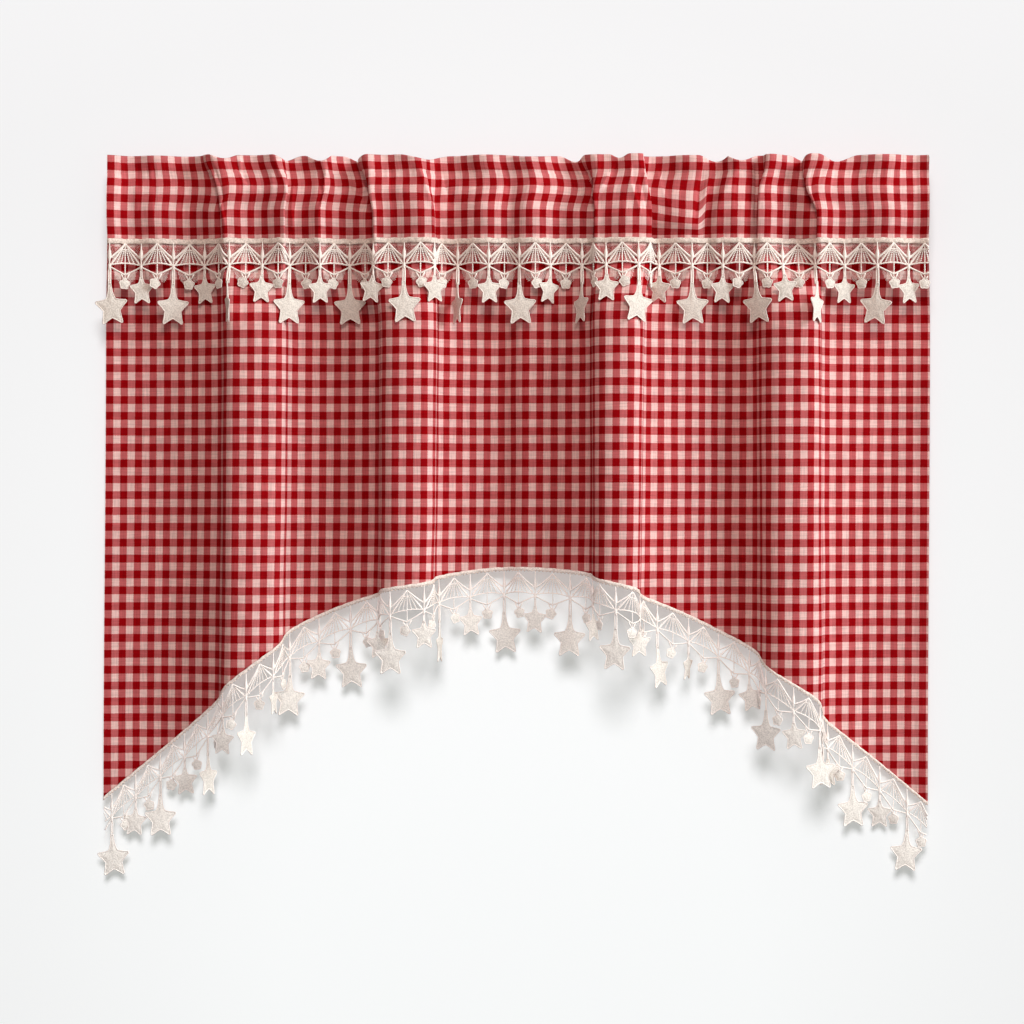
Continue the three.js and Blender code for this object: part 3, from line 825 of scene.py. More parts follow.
def ground_width(share, deep, thread):
    """The thread of the fine net ground at a place of a fan, or 0 where it is cut away."""
    scallop = np.maximum(1 - ((share - SCALLOP_AT) / SCALLOP_HALF) ** 2, 0)
    foot = swag(share) + SCALLOP_LONG * scallop
    wide = np.zeros_like(deep)
    wide[(deep > GROUND_TOP) & (deep < outer_cord(share))] = thread * 0.5
    wide[(deep > swag(share)) & (deep < foot)] = thread
    between = (deep > outer_cord(share)) & (deep < inner_cord(share)) & (share < 0.8)
    wide[between] = thread * 1.3
    return wide


def make_ground(bag, path, knots, thread):
    """The fine diamond net between the cords, one flat strip to each side of a mesh."""
    columns = int(path.length / GROUND_PITCH)
    rows = int(GROUND_LONG / (GROUND_PITCH / 2))
    i, j = np.meshgrid(np.arange(columns), np.arange(rows))
    start = ((i + j) % 2 == 0).ravel()
    i, j = i.ravel()[start], j.ravel()[start]
    for step in (1, -1):
        a0, a1 = i * GROUND_PITCH, (i + step) * GROUND_PITCH
        d0, d1 = (GROUND_TOP + row * GROUND_PITCH / 2 for row in (j, j + 1))
        middle, deep = (a0 + a1) / 2, (d0 + d1) / 2
        fan = np.clip(np.searchsorted(knots, middle) - 1, 0, len(knots) - 2)
        half = (knots[fan + 1] - knots[fan]) / 2
        share = np.abs(middle - knots[fan] - half) / half
        wide = ground_width(share, deep, thread)
        keep = (wide > 0) & (middle > 0) & (middle < path.length)
        a0, a1, d0, d1, wide = (v[keep] for v in (a0, a1, d0, d1, wide))
        off_a, off_d = 0.45 * wide / 2, 0.89 * step * wide / 2
        corners = [
            path.at(a0 + off_a, d0 - off_d), path.at(a1 + off_a, d1 - off_d),
            path.at(a1 - off_a, d1 + off_d), path.at(a0 - off_a, d0 + off_d),
        ]
        points = np.stack(corners, axis=1).reshape(-1, 3)
        faces = np.arange(len(points)).reshape(-1, 4)
        bag.add(points, faces[:, ::-1] if step > 0 else faces)


def lace_cord(bag, path, alongs, deeps, radius, forward=0.0, sides=5):
    """A cord through places of the trim, as far as they lie on it."""
    alongs, deeps = np.asarray(alongs, float), np.asarray(deeps, float)
    keep = (alongs > -0.01) & (alongs < path.length + 0.01)
    if keep.sum() < 2:
        return
    radius = np.broadcast_to(radius, len(alongs))[keep]
    points = path.at(alongs[keep], deeps[keep])
    points[:, 1] -= np.broadcast_to(forward, len(alongs))[keep]
    tube(bag, points, radius, sides)


def beads(length, thin, thick):
    """Places along a beaded strand from 0 to 1, and its radius there."""
    count = max(int(length / BEAD_PITCH), 2) * 2 + 1
    return np.linspace(0, 1, count), np.where(np.arange(count) % 2 == 0, thin, thick)


# A fan's cords: the line of each, its thickness at the middle and at the knots in cords, and how
# far forward it lies
FAN_CORDS = ((outer_cord, 0.85, 1.1, 0.6), (inner_cord, 0.7, 0.95, 0.3), (swag, 0.95, 0.85, 0.6))
# Its inner strands: where each ends, and the thickness of its beads
FAN_STRANDS = ((0.26, 1.0), (0.56, 1.1))


def make_fan(bag, path, left, right, cord):
    """One fan of the net: its outer and inner cords, its swag, and its beaded strands."""
    apex, half = (left + right) / 2, (right - left) / 2
    t = np.linspace(0, 1, CORD_STEPS)
    for sign in (-1, 1):
        side = apex + sign * half * t
        for line, middle, end, forward in FAN_CORDS:
            radius = cord * np.linspace(middle, end, CORD_STEPS)
            lace_cord(bag, path, side, line(t), radius, forward)
        share, radius = beads(half, BEAD_THIN, cord * 0.9)
        between = mix(outer_cord(share), inner_cord(share), 0.5)
        lace_cord(bag, path, apex + sign * half * share * 0.88, between, radius, 0.2, 4)
        for end, thick in FAN_STRANDS:
            length = math.hypot(half * end, LINE_DEEP - APEX_DEEP)
            share, radius = beads(length, BEAD_THIN, cord * thick)
            share = mix(0.25, 1, share)
            deeps = mix(APEX_DEEP, arched_line(end), share)
            lace_cord(bag, path, apex + sign * half * end * share, deeps, radius, 0.1, 4)
        # The last cord runs from the swag to the droplet's side.
        foot = apex + sign * np.array([5.5, 3.5, 1.0])
        lace_cord(bag, path, foot, SWAG_DEEP + np.array([-1.5, 2.5, 6.5]), cord * 0.75, 0.5)
    foot = SWAG_DEEP + 5
    share, radius = beads(foot - APEX_DEEP, cord * 0.5, cord * 0.75)
    middle = np.full(len(share), apex)
    lace_cord(bag, path, middle, mix(APEX_DEEP, foot, share), radius, 0.4)
    share, radius = beads(1.7 * half, cord * 0.6, cord * 0.95)
    side = (2 * share - 1) * 0.85
    lace_cord(bag, path, apex + half * side, arched_line(np.abs(side)), radius, 0.3)


def make_knot(bag, path, along, star_top, cord, apart, forward):
    """Where two fans meet: a strand from the tape with a thick knob, the crossing, and the bar of
    two cords down to the star, which hangs that far forward."""
    along = min(max(along, 1.5), path.length - 1.5)
    deeps, thick = np.array(KNOB).T
    lace_cord(bag, path, np.full(len(deeps), along), deeps, cord * thick, 0.6, 6)
    count = max(int((star_top - KNOT_DEEP) / 3), 4)
    deeps = np.linspace(KNOT_DEEP, star_top + 2, count)
    for sign in (-1, 1):
        offset = sign * apart * np.interp(deeps, [KNOT_DEEP, KNOT_DEEP + 6], [0.6, 1.0])
        ease = forward * smooth(KNOT_DEEP, star_top, deeps)
        lace_cord(bag, path, along + offset, deeps, cord * 0.85, 0.3 + ease)


def star_outline(inner, neck, bar):
    """A five-pointed star of radius 1. Its top arm runs up into a bar of half-width bar, which it
    meets at the height neck."""
    points = []
    for k in range(5):
        tip = math.pi / 2 + k * 2 * math.pi / 5
        notch = tip + math.pi / 5
        if k == 0:
            start = (math.cos(tip - math.pi / 5) * inner, math.sin(tip - math.pi / 5) * inner)
            bend = (bar * 1.4, mix(start[1], neck, 0.2))
            t = np.linspace(0, 1, 8)[1:]
            x = (1 - t) ** 2 * start[0] + 2 * t * (1 - t) * bend[0] + t * t * bar
            y = (1 - t) ** 2 * start[1] + 2 * t * (1 - t) * bend[1] + t * t * neck
            points.extend(zip(x, y))
            points.extend([(-a, b) for a, b in zip(x[::-1], y[::-1])])
        else:
            x, y = math.cos(tip), math.sin(tip)
            side_x, side_y = -y * 0.06, x * 0.06
            points.append((x * 0.95 - side_x, y * 0.95 - side_y))
            points.append((x, y))
            points.append((x * 0.95 + side_x, y * 0.95 + side_y))
        points.append((math.cos(notch) * inner, math.sin(notch) * inner))
    # The arms' long sides curve in a little.
    finer, pull = [], 0.97
    for a, b in zip(points, points[1:] + points[:1]):
        finer.append(a)
        if math.dist(a, b) > 0.25:
            finer.append(((a[0] + b[0]) / 2 * pull, (a[1] + b[1]) / 2 * pull))
    return np.array(finer)


def turned(points, yaw, roll, tilt):
    """Points turned about Y by roll, then X by tilt, then Z by yaw."""
    cr, sr, ct, st = math.cos(roll), math.sin(roll), math.cos(tilt), math.sin(tilt)
    cy, sy = math.cos(yaw), math.sin(yaw)
    spin = np.array([[cr, 0, -sr], [0, 1, 0], [sr, 0, cr]])
    lean = np.array([[1, 0, 0], [0, ct, -st], [0, st, ct]])
    turn = np.array([[cy, -sy, 0], [sy, cy, 0], [0, 0, 1]])
    return points @ (turn @ lean @ spin).T


def flower_outline():
    """A small five-petalled flower of radius 1."""
    angle = np.linspace(0, 2 * math.pi, 31)[:-1]
    reach = 0.9 + 0.1 * np.cos(5 * (angle - math.pi / 2))
    return np.column_stack([reach * np.cos(angle), reach * np.sin(angle)])


def make_star(pads, rims, path, centre, outline, hang, angles, thick):
    """A padded star with a raised cord round its edge. It hangs, and turns, at the height hang.
    Returns how far forward it had to move to hang clear of the cloth."""
    n = len(outline)
    layers = []
    for scale, height in PAD:
        ring = outline * scale
        layers.append(np.column_stack([ring[:, 0], np.full(n, -height * thick), ring[:, 1]]))
    front = np.concatenate(layers)
    points = np.concatenate([front, front * np.array([1, -1, 1])])
    total = len(front)
    ring = np.arange(n)
    after = (ring + 1) % n
    faces = []
    for r in range(len(layers) - 1):
        cells = np.stack([ring, after, after + n, ring + n], axis=-1) + r * n
        faces += [cells[:, ::-1], cells + total]
    faces.append(np.stack([ring, total + ring, total + after, after], axis=-1))
    pivot = np.array([0, 0, hang])
    placed = turned(points - pivot, *angles) + pivot + centre
    forward = path.clear(placed)
    centre = centre - np.array([0, forward, 0])
    placed[:, 1] -= forward
    pads.add(placed, np.concatenate(faces), points[:, [0, 2]] + centre[[0, 2]])
    loop = np.column_stack([outline[:, 0], np.full(n, -0.2 * thick), outline[:, 1]])
    loop_tube(rims, turned(loop - pivot, *angles) + pivot + centre, RIM)
    return forward


def make_tape(path, name, material, width, top, picots):
    """The trim's woven heading tape: a soft flat ribbon, which may have a row of small loops."""
    along = np.linspace(0, path.length, int(path.length / TAPE_STEP))
    turn = np.linspace(0, 2 * math.pi, 9)[:-1]
    rows = []
    for angle in turn:
        deep = top + width / 2 - np.cos(angle) * width / 2
        deep = deep + 0.35 * np.sin(along / 3.1) + 0.2 * np.sin(along / 1.7 + 1)
        points = path.at(along, deep)
        points[:, 1] -= 0.5 + 0.9 * np.sin(angle) + 0.25 * np.sin(along / 1.4)
        rows.append(points)
    points = np.stack(rows, axis=1)
    count, sides = points.shape[:2]
    bag = Bag()
    flat = np.broadcast_arrays(along[:, None], turn[None, :] * width / 3)
    bag.add(points.reshape(-1, 3), ring_faces(count, sides), np.stack(flat, -1).reshape(-1, 2))
    for place in np.arange(2, path.length, PICOT_STEP) if picots else ():
        centre = path.at(place + np.linspace(-1.2, 1.2, 3), top + width + 0.3)
        centre[:, 1] -= 0.5
        tube(bag, centre, [0.4, 1.0, 0.4])
    return bag.make(name, material)


def star_places(length, trim):
    """Where a trim's stars hang along it."""
    share = np.arange(trim["count"]) / (trim["count"] - 1)
    even = trim["first"] + share * (length - trim["first"] - trim["last"])
    return even - trim["ease"] * np.sin(math.pi * share**0.75)


def make_trim(path, prefix, lace, tape):
    """A whole star trim, in the lace's sizes and materials, on a tape of this width."""
    trim = TRIMS[prefix]
    rng = np.random.default_rng(trim["seed"])
    ground, cords, pads, rims = Bag(), Bag(), Bag(), Bag()
    cord = lace["cord"] * trim["cord"]
    places = star_places(path.length, trim)
    knots = np.concatenate([[2 * places[0] - places[1]], places, [2 * places[-1] - places[-2]]])
    make_ground(ground, path, knots, lace["thread"] * trim["thread"])
    for left, right in zip(knots[:-1], knots[1:]):
        make_fan(cords, path, left, right, cord)
    kinds = []
    for star, radius in ((BIG_STAR, lace["big"]), (MEDIUM_STAR, lace["medium"])):
        outline = star_outline(NOTCH, star["hang"] / star["long"], star["bar"])
        kinds.append((star, outline * radius * np.array([1, star["long"]]), star["hang"] * radius))
    droplet = flower_outline() * lace["small"]
    for k, along in enumerate(places):
        # Big and medium stars take turns.
        star, outline, hang = kinds[k % 2]
        lean = trim["lean"] if k % 2 else 0.0
        yaw, roll, tilt = (math.radians(rng.normal(0, spread)) for spread in STAR_SPREAD)
        yaw += path.yaw(along, star["deep"]) * STAR_FOLLOWS + math.radians(lean)
        yaw = math.radians(trim["turns"][k]) if k in trim["turns"] else yaw
        centre = path.at(along, star["deep"]) + np.array(STAR_FRONT)
        angles = (yaw, roll, tilt)
        forward = make_star(pads, rims, path, centre, outline, hang, angles, STAR_HEIGHT)
        make_knot(cords, path, along, star["deep"] - hang, cord, star["apart"], forward)
        middle = (knots[k + 1] + knots[k + 2]) / 2
        if middle < path.length - 4:
            yaw, roll = (math.radians(rng.normal(0, spread)) for spread in DROPLET_SPREAD)
            angles = (path.yaw(middle, DROPLET_DEEP) + yaw, roll, 0)
            centre = path.at(middle, DROPLET_DEEP) + np.array(DROPLET_FRONT)
            hang = lace["small"]
            make_star(pads, rims, path, centre, droplet, hang, angles, DROPLET_HEIGHT)
    path.ease(cords)
    material = lace["tape_material"]
    return [
        make_tape(path, prefix + "_tape", material, tape, trim["top"], trim["picots"]),
        ground.make(prefix + "_ground", lace["cord_material"]),
        cords.make(prefix + "_cords", lace["cord_material"]),
        pads.make(prefix + "_stars", lace["star_material"]),
        rims.make(prefix + "_star_rims", lace["cord_material"]),
    ]


# Materials

# The middles of the first dark stripes, across and down, and the sizes of the yarns' fuzz and of
# the worn patches, in millimetres
WARP_START = 5.0
WEFT_START = 13.75
FUZZ = 1.613
WORN_PATCH = 90.9


def to_linear(colour):
    """A #rrggbb colour as linear red, green, blue and alpha."""
    parts = [int(colour[i : i + 2], 16) / 255 for i in (1, 3, 5)]
    return [c / 12.92 if c <= 0.04045 else ((c + 0.055) / 1.055) ** 2.4 for c in parts] + [1.0]


def node(tree, kind, *inputs, **settings):
    """Adds a node. An input is a value, another node (its first output) or an output, and a
    mapping gives inputs by their names. A setting is an attribute of the node."""
    made = tree.nodes.new(kind)
    for key, value in settings.items():
        setattr(made, key, value)
    named = {}
    for number, value in enumerate(inputs):
        named.update(value if isinstance(value, dict) else {number: value})
    for key, value in named.items():
        if isinstance(value, bpy.types.Node):
            value = value.outputs[0]
        if isinstance(value, bpy.types.NodeSocket):
            tree.links.new(value, made.inputs[key])
        else:
            made.inputs[key].default_value = value
    return made


def new_material(name):
    """A new material, its tree and its one shader."""
    material = bpy.data.materials.new(name)
    material.use_nodes = True
    tree = material.node_tree
    tree.nodes.clear()
    shader = node(tree, "ShaderNodeBsdfPrincipled")
    node(tree, "ShaderNodeOutputMaterial", shader)
    return material, tree, shader


def stripe(tree, place, centre, repeat, ragged):
    """1 on the dark stripes of a repeat, 0 between them, with a yarn's soft edge."""
    moved = node(tree, "ShaderNodeMath", place, centre, operation="SUBTRACT")
    moved = node(tree, "ShaderNodeMath", moved, ragged, operation="ADD")
    away = node(tree, "ShaderNodeMath", moved, repeat / 2, operation="PINGPONG")
    edge, soft = repeat / 4, 0.3 * MM
    return node(tree, "ShaderNodeMapRange", away, edge - soft, edge + soft, 1.0, 0.0)


def streaks(tree, flat, wide, long):
    """Noise drawn out into streaks of the given width and length, both ways."""
    both = []
    for scale in ((1 / wide, 1 / long, 1.0), (1 / long, 1 / wide, 1.0)):
        scaled = node(tree, "ShaderNodeMapping", {"Vector": flat, "Scale": scale})
        settings = {"Vector": scaled, "Scale": 1.0, "Detail": 1.0}
        both.append(node(tree, "ShaderNodeTexNoise", settings))
    return node(tree, "ShaderNodeMath", *both, operation="ADD")


def faint(tree, pattern, middle, much):
    """A pattern's difference from its middle, made fainter."""
    away = node(tree, "ShaderNodeMath", pattern, middle, operation="SUBTRACT")
    return node(tree, "ShaderNodeMath", away, much, operation="MULTIPLY")


def finish(tree, shader, colour, relief, roughness, gloss):
    """Gives a matte textile its colour, relief and gloss."""
    tree.links.new(colour.outputs[0], shader.inputs["Base Color"])
    tree.links.new(relief.outputs[0], shader.inputs["Normal"])
    shader.inputs["Roughness"].default_value = roughness
    shader.inputs["Specular IOR Level"].default_value = gloss


def gingham_material(cloth):
    """Yarn-dyed plain-weave cotton gingham: red and cream yarns cross in checks, so the middle tone
    is half of each. It is matte, with the yarns' slubs as faint streaks both ways; they are drawn
    2 mm wide, because a 0.3 mm yarn is too fine to show."""
    material, tree, shader = new_material("gingham_woven_cotton")
    flat = node(tree, "ShaderNodeUVMap", uv_map="flat")
    across, drop, _ = node(tree, "ShaderNodeSeparateXYZ", flat).outputs
    scale = 1 / (FUZZ * MM)
    fuzz = node(tree, "ShaderNodeTexNoise", {"Vector": flat, "Scale": scale, "Detail": 2.0})
    ragged = faint(tree, fuzz, 0.5, 1.2 * MM)
    warp = stripe(tree, across, WARP_START * MM, cloth.check_across, ragged)
    weft = stripe(tree, drop, WEFT_START * MM, cloth.check_down, ragged)
    light, dark = (
        node(tree, "ShaderNodeMix", {0: warp, 6: a, 7: b}, data_type="RGBA").outputs[2]
        for a, b in ((cloth.light, cloth.middle), (cloth.middle, cloth.dark))
    )
    plain = node(tree, "ShaderNodeMix", {0: weft, 6: light, 7: dark}, data_type="RGBA").outputs[2]
    yarns = streaks(tree, flat, 0.8 * MM, 20 * MM)
    # The patches are broad and faint, where the cloth is a little more or less worn.
    scale = 1 / (WORN_PATCH * MM)
    patches = node(tree, "ShaderNodeTexNoise", {"Vector": flat, "Scale": scale, "Detail": 1.0})
    value = faint(tree, streaks(tree, flat, 1.9 * MM, 30 * MM), 1.0, 0.5)
    for more in (faint(tree, yarns, 1.0, 0.25), faint(tree, patches, 0.5, 0.2), 1.0):
        value = node(tree, "ShaderNodeMath", value, more, operation="ADD")
    toned = node(tree, "ShaderNodeHueSaturation", {"Color": plain, "Value": value})
    bump = node(tree, "ShaderNodeBump", {"Height": yarns, "Strength": 0.2, "Distance": 0.4 * MM})
    finish(tree, shader, toned, bump, 0.9, 0.02)
    return material


def cotton_material(name, colour, grain, painted_gap_shade, relief):
    """Soft cotton thread, matte, with the fuzz and the stitches as a fine grain. grain and relief
    are the stitches' width and height in metres, and the number between them is how dark the gaps
    between stitches are painted: a painted shade that falls where the grain's relief is low."""
    material, tree, shader = new_material(name)
    place = node(tree, "ShaderNodeTexCoord").outputs["Object"]
    grains = node(tree, "ShaderNodeTexNoise", {"Vector": place, "Scale": 1 / grain, "Detail": 3.0})
    # Painted shade: the gaps between the stitches, where the grain's relief is low, are darkened.
    value = node(tree, "ShaderNodeMapRange", grains, 0.36, 0.62, 1 - painted_gap_shade, 1.0)
    toned = node(tree, "ShaderNodeHueSaturation", {"Color": colour, "Value": value})
    bump = node(tree, "ShaderNodeBump", {"Height": grains, "Strength": 0.7, "Distance": relief})
    finish(tree, shader, toned, bump, 0.95, 0.15)
    return material


def trim_materials(lace):
    """Star lace, crocheted and pressed: smooth thread, padded stars stitched all over, with painted
    shade in the small gaps between the stitches, and a woven tape."""
    made = {}
    # Each gives a name, a colour, the grain, the painted shade in the stitch gaps, and the relief.
    for name, colour, grain, painted_gap_shade, relief in (
        ("cord", lace.cord_colour, 1.1 * MM, 0.1, 0.3 * MM),
        ("star", lace.star_colour, 1.7 * MM, 0.24, 0.7 * MM),
        ("tape", lace.tape_colour, 2.1 * MM, 0.3, 0.5 * MM),
    ):
        full = "lace_cotton_" + name
        made[name + "_material"] = bpy.data.materials.get(full) or cotton_material(
            full, colour, grain, painted_gap_shade, relief
        )
    return made


# The stage

# In metres. The backdrop runs down the wall, round a cove and out along the floor.
CAMERA = {"x": -0.0075, "z": -0.44625, "far": 3.8, "width": 1.28}
TARGET = (0.0, 0.0, -0.42)
WALL_Y = 0.040
WALL_TOP = 1.6
FLOOR_Z = -1.6
FLOOR_END = -4.0
HALF_WIDTH = 12.0
COVE = 0.32
COVE_STEPS = 12
# The tint of the paper's own white, which keeps its shadows neutral
PAPER_TINT = (0.87, 1.0, 0.99, 1)
# A painted pool of light on the paper: its centre, the distances over which it fades out, and what
# it adds in its middle and at its far edge, where it paints the top corners a little darker
PAINTED_POOL = {
    "centre": (0.0, WALL_Y, -1.0), "inside": 0.3, "outside": 1.2, "bright": 0.09, "dark": -0.05,
}


def backdrop_material(stage):
    """Matte studio paper. It shows only to a camera in front of it, so that the back can be
    looked at too, and part of its white is its own, so that it keeps only a soft shadow."""
    material, tree, shader = new_material("backdrop_matte_paper")
    shader.inputs["Base Color"].default_value = stage.paper
    shader.inputs["Roughness"].default_value = 1.0
    shader.inputs["Specular IOR Level"].default_value = 0.0
    shader.inputs["Emission Color"].default_value = PAPER_TINT
    # A painted pool of light: the paper is made brighter low down in its middle, and painted a
    # little darker towards the top corners.
    place = node(tree, "ShaderNodeTexCoord").outputs["Object"]
    far = node(tree, "ShaderNodeVectorMath", place, PAINTED_POOL["centre"], operation="DISTANCE")
    painted_pool = (PAINTED_POOL["inside"], PAINTED_POOL["outside"], PAINTED_POOL["bright"], PAINTED_POOL["dark"])
    bright = node(tree, "ShaderNodeMapRange", far.outputs["Value"], *painted_pool)
    # The glow is the paper's even white plus the painted pool of light and darker corners.
    glow = node(tree, "ShaderNodeMath", bright, stage.paper_glow, operation="ADD")
    tree.links.new(glow.outputs[0], shader.inputs["Emission Strength"])
    camera = node(tree, "ShaderNodeLightPath").outputs["Is Camera Ray"]
    behind = node(tree, "ShaderNodeNewGeometry").outputs["Backfacing"]
    front = node(tree, "ShaderNodeMath", 1.0, behind, operation="SUBTRACT")
    seen = node(tree, "ShaderNodeMath", camera, front, operation="MULTIPLY")
    clear = node(tree, "ShaderNodeBsdfTransparent")
    blend = node(tree, "ShaderNodeMixShader", seen, clear, shader)
    out = next(n for n in tree.nodes if n.type == "OUTPUT_MATERIAL")
    tree.links.new(blend.outputs[0], out.inputs["Surface"])
    return material


def make_backdrop(stage):
    """A sheet of paper behind the curtain, with a cove to the floor."""
    profile = [(WALL_Y, WALL_TOP), (WALL_Y, FLOOR_Z + COVE)]
    for step in range(1, COVE_STEPS + 1):
        angle = step / COVE_STEPS * math.pi / 2
        y = WALL_Y - COVE * (1 - math.cos(angle))
        profile.append((y, FLOOR_Z + COVE * (1 - math.sin(angle))))
    profile.append((FLOOR_END, FLOOR_Z))
    points = [(x, y, z) for y, z in profile for x in (-HALF_WIDTH, HALF_WIDTH)]
    faces = [(2 * i, 2 * i + 2, 2 * i + 3, 2 * i + 1) for i in range(len(profile) - 1)]
    mesh = bpy.data.meshes.new("backdrop")
    mesh.from_pydata(points, [], faces)
    mesh.polygons.foreach_set("use_smooth", [True] * len(faces))
    mesh.materials.append(backdrop_material(stage))
    backdrop = bpy.data.objects.new("backdrop", mesh)
    bpy.context.scene.collection.objects.link(backdrop)


# The light from the window is cool, and the light from the room round it warm. The wash keeps
# the paper neutral, and the wall's light makes up for the red that the cloth throws on the lace.
COOL = (0.94, 1.02, 1.04)
WARM = (1.0, 0.82, 0.75)
PAPER_WASH = (1.04, 1.0, 1.01)
WALL_WHITE = (0.86, 1.05, 1.22)
ROOM_WHITE = 0.91


def area_light(name, azimuth, elevation, far, size, level, colour):
    """A round soft light that gives a white surface turned to it this level of brightness.
    Azimuth runs from the front towards the right."""
    a, e = math.radians(azimuth), math.radians(elevation)
    away = Vector((math.sin(a) * math.cos(e), -math.cos(a) * math.cos(e), math.sin(e)))
    data = bpy.data.lights.new(name, "AREA")
    data.shape = "DISK"
    data.size = size
    data.energy = level * math.pi**2 * far**2
    data.color = colour
    light = bpy.data.objects.new(name, data)
    light.location = Vector(TARGET) + away * far
    light.rotation_euler = away.to_track_quat("Z", "Y").to_euler()
    light.visible_camera = False
    bpy.context.scene.collection.objects.link(light)


def light_only(light, names):
    """Keeps a light's rays to the pieces whose names start like this."""
    lit = bpy.data.collections.new("lit by the " + light + " light")
    for piece in bpy.data.objects:
        if piece.name.startswith(names):
            lit.objects.link(piece)
    bpy.data.objects[light].light_linking.receiver_collection = lit


def make_world(stage):
    """Dim warm light from all round, behind a white that only the camera sees."""
    world = bpy.data.worlds.new("studio")
    world.use_nodes = True
    tree = world.node_tree
    tree.nodes.clear()
    camera = node(tree, "ShaderNodeLightPath").outputs["Is Camera Ray"]
    fill = node(tree, "ShaderNodeBackground", (*WARM, 1), stage.fill)
    seen = node(tree, "ShaderNodeBackground", (1, 1, 1, 1), ROOM_WHITE)
    shown = node(tree, "ShaderNodeMixShader", camera, fill, seen)
    node(tree, "ShaderNodeOutputWorld", shown)
    bpy.context.scene.world = world


def make_camera():
    """A long lens straight in front of the curtain."""
    scene = bpy.context.scene
    data = bpy.data.cameras.new("camera")
    data.sensor_width = 36
    data.lens = 36 * CAMERA["far"] / CAMERA["width"]
    data.clip_end = 50
    camera = bpy.data.objects.new("camera", data)
    camera.location = (CAMERA["x"], -CAMERA["far"], CAMERA["z"])
    camera.rotation_euler = (math.pi / 2, 0, 0)
    scene.collection.objects.link(camera)
    scene.camera = camera
    scene.view_settings.view_transform = "Standard"


# Settings

Length = functools.partial(bpy.props.FloatProperty, subtype="DISTANCE", unit="LENGTH", precision=4)
Level = functools.partial(bpy.props.FloatProperty, min=0)
Colour = functools.partial(bpy.props.FloatVectorProperty, subtype="COLOR", size=4, min=0, max=1)


class CURTAIN_PG_cloth(bpy.types.PropertyGroup):
    """The gingham's checks and colours"""

    check_across: Length(
        name="Check across", description="Width of one gingham repeat", default=0.018
    )
    check_down: Length(
        name="Check down", description="Height of one gingham repeat", default=0.0201
    )
    light: Colour(
        name="Light check", description="Cream yarns both ways", default=to_linear("#e9c3be")
    )
    middle: Colour(
        name="Middle check", description="Red across cream", default=to_linear("#bf6163")
    )
    dark: Colour(name="Dark check", description="Red yarns both ways", default=to_linear("#91060d"))


class CURTAIN_PG_lace(bpy.types.PropertyGroup):
    """The two star trims"""

    cord: Length(name="Cord", description="Radius of the net's cords", default=0.00135)
    thread: Length(name="Thread", description="Thread of the fine net ground", default=0.00024)
    big_star: Length(name="Big star", description="Radius of a big star", default=0.0204)
    medium_star: Length(name="Medium star", description="Radius of a medium star", default=0.0152)
    small_star: Length(name="Small star", description="Radius of a small star", default=0.0068)
    upper_tape: Length(
        name="Upper tape", description="Width of the upper trim's tape", default=0.0068
    )
    lower_tape: Length(
        name="Lower tape", description="Width of the lower trim's tape", default=0.0046
    )
    cord_colour: Colour(name="Cord colour", description="The cords", default=to_linear("#f8efe7"))
    star_colour: Colour(name="Star colour", description="The stars", default=to_linear("#f0e9df"))
    tape_colour: Colour(name="Tape colour", description="The tapes", default=to_linear("#efe0d4"))


class CURTAIN_PG_stage(bpy.types.PropertyGroup):
    """The backdrop and the lights"""

    paper: Colour(
        name="Paper", description="Colour of the backdrop", default=to_linear("#d9dcde")
    )
    paper_glow: Level(
        name="Paper glow", description="The backdrop's own white", default=0.27, max=1
    )
    wash: Level(name="Wash", description="Level of the backdrop's own light", default=0.82)
    key: Level(
        name="Key light", description="Level of the raking light from the right", default=1.07
    )
    front: Level(
        name="Front light", description="Level of the light from above the camera", default=0.36
    )
    back: Level(name="Back light", description="Level of the light on the back", default=0.45)
    wall: Level(
        name="Wall light", description="Level of the wall's light on the lower trim", default=0.32
    )
    fill: Level(name="Fill", description="Strength of the light from all round", default=0.28)


# Operators


@functools.cache
def cloth_shape(limit=None):
    """The hanging cloth, worked out once for each limit."""
    return Cloth(limit)


def gingham():
    """The one gingham that both cloth pieces are cut from."""
    name = "gingham_woven_cotton"
    return bpy.data.materials.get(name) or gingham_material(bpy.context.scene.curtain_cloth)


def place(piece, slot, solid):
    """Lets a piece ride on the curtain and stand for its solid. The slot is not used."""
    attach(piece, "root")
    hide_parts(solid)


def trim_pieces(path, prefix, tape):
    """Makes a trim and sews it on."""
    lace = bpy.context.scene.curtain_lace
    parts = {
        "big": lace.big_star / MM, "medium": lace.medium_star / MM, "small": lace.small_star / MM,
        "cord": lace.cord / MM, "thread": lace.thread / MM, **trim_materials(lace),
    }
    for piece in make_trim(path, prefix, parts, tape / MM):
        place(piece, "lace", "lace_" + prefix)


class CURTAIN_OT_make_stage(bpy.types.Operator):
    """Make the backdrop, the lights and the camera"""

    bl_idname = "curtain.make_stage"
    bl_label = "Stage"

    def execute(self, context):
        stage = context.scene.curtain_stage
        make_backdrop(stage)
        curtain = ("heading_cloth", "panel_cloth", "upper_", "lower_")
        # The backdrop has a light of its own, the wash, so the curtain's shadow on it falls
        # straight down. The wall light is what the bright wall throws on the lower trim, which
        # hangs free of the cloth; the backdrop itself gives no light, so a lamp stands for it.
        for name, azimuth, elevation, far, size, colour, lit in (
            ("key", 65, 25, 8.0, 5.0, COOL, curtain),
            ("front", 4, 33, 4.0, 1.2, WARM, curtain),
            ("wash", 0, 33, 8.0, 3.2, PAPER_WASH, "backdrop"),
            ("back", 160, 35, 4.0, 1.6, WARM, curtain),
            ("wall", -12, 12, 4.0, 2.0, WALL_WHITE, "lower_"),
        ):
            area_light(name, azimuth, elevation, far, size, getattr(stage, name), colour)
            light_only(name, lit)
        make_world(stage)
        make_camera()
        return {"FINISHED"}


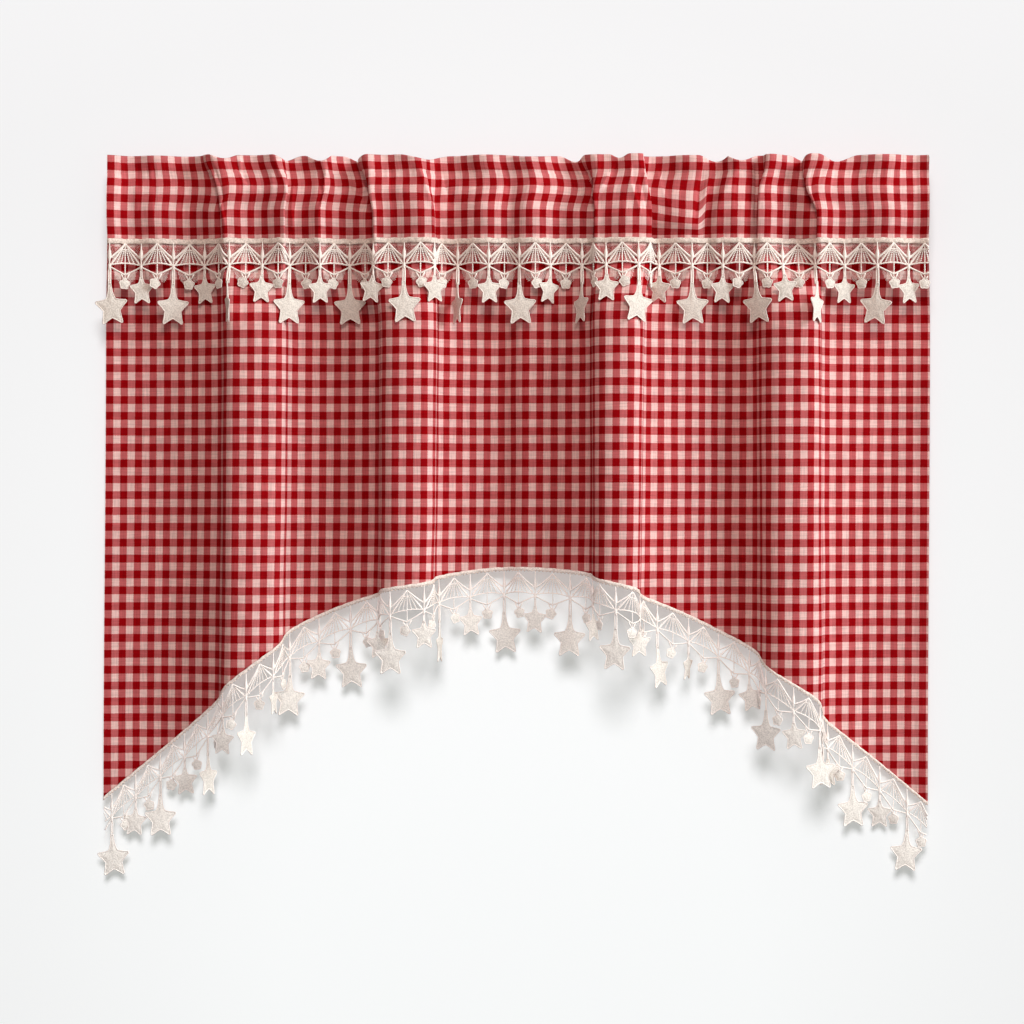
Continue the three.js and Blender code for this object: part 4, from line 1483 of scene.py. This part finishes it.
class CURTAIN_OT_make_heading(bpy.types.Operator):
    """Make the ruffled heading with its rod pocket"""

    bl_idname = "curtain.make_heading"
    bl_label = "Heading"

    def execute(self, context):
        piece = make_heading(cloth_shape(), cloth_shape(STEEPEST_BACK), gingham())
        place(piece, "gingham", "heading")
        return {"FINISHED"}


class CURTAIN_OT_make_upper_trim(bpy.types.Operator):
    """Make the star trim below the heading"""

    bl_idname = "curtain.make_upper_trim"
    bl_label = "Upper star trim"

    def execute(self, context):
        trim_pieces(upper_path(cloth_shape()), "upper", context.scene.curtain_lace.upper_tape)
        return {"FINISHED"}


class CURTAIN_OT_make_lower_trim(bpy.types.Operator):
    """Make the star trim along the hem"""

    bl_idname = "curtain.make_lower_trim"
    bl_label = "Lower star trim"

    def execute(self, context):
        trim_pieces(lower_path(cloth_shape()), "lower", context.scene.curtain_lace.lower_tape)
        return {"FINISHED"}


class CURTAIN_OT_make_panel(bpy.types.Operator):
    """Make the hanging panel, which carries the two trims"""

    bl_idname = "curtain.make_panel"
    bl_label = "Panel"

    def execute(self, context):
        piece = make_panel(cloth_shape(), gingham())
        place(piece, "gingham", "panel")
        return {"FINISHED"}


class CURTAIN_PT_sidebar(bpy.types.Panel):
    """The curtain's settings and pieces"""

    bl_idname = "CURTAIN_PT_sidebar"
    bl_label = "Cafe curtain"
    bl_space_type = "VIEW_3D"
    bl_region_type = "UI"
    bl_category = "Curtain"

    def draw(self, context):
        for group in SETTINGS:
            settings = getattr(context.scene, group)
            box = self.layout.box()
            for name in settings.__annotations__:
                box.prop(settings, name)
        for operator in OPERATORS:
            self.layout.operator(operator.bl_idname)


OPERATORS = (
    CURTAIN_OT_make_heading,
    CURTAIN_OT_make_upper_trim,
    CURTAIN_OT_make_lower_trim,
    CURTAIN_OT_make_panel,
    CURTAIN_OT_make_stage,
)
SETTINGS = {
    "curtain_cloth": CURTAIN_PG_cloth,
    "curtain_lace": CURTAIN_PG_lace,
    "curtain_stage": CURTAIN_PG_stage,
}


def register():
    for made in (*SETTINGS.values(), *OPERATORS, CURTAIN_PT_sidebar):
        bpy.utils.register_class(made)
    for name, group in SETTINGS.items():
        setattr(bpy.types.Scene, name, bpy.props.PointerProperty(type=group))


def unregister():
    for name in SETTINGS:
        delattr(bpy.types.Scene, name)
    for made in (CURTAIN_PT_sidebar, *OPERATORS[::-1], *SETTINGS.values()):
        bpy.utils.unregister_class(made)


def main():
    register()
    bpy.ops.curtain.make_heading()
    bpy.ops.curtain.make_upper_trim()
    bpy.ops.curtain.make_lower_trim()
    bpy.ops.curtain.make_panel()
    bpy.ops.curtain.make_stage()


if __name__ == "__main__":
    main()
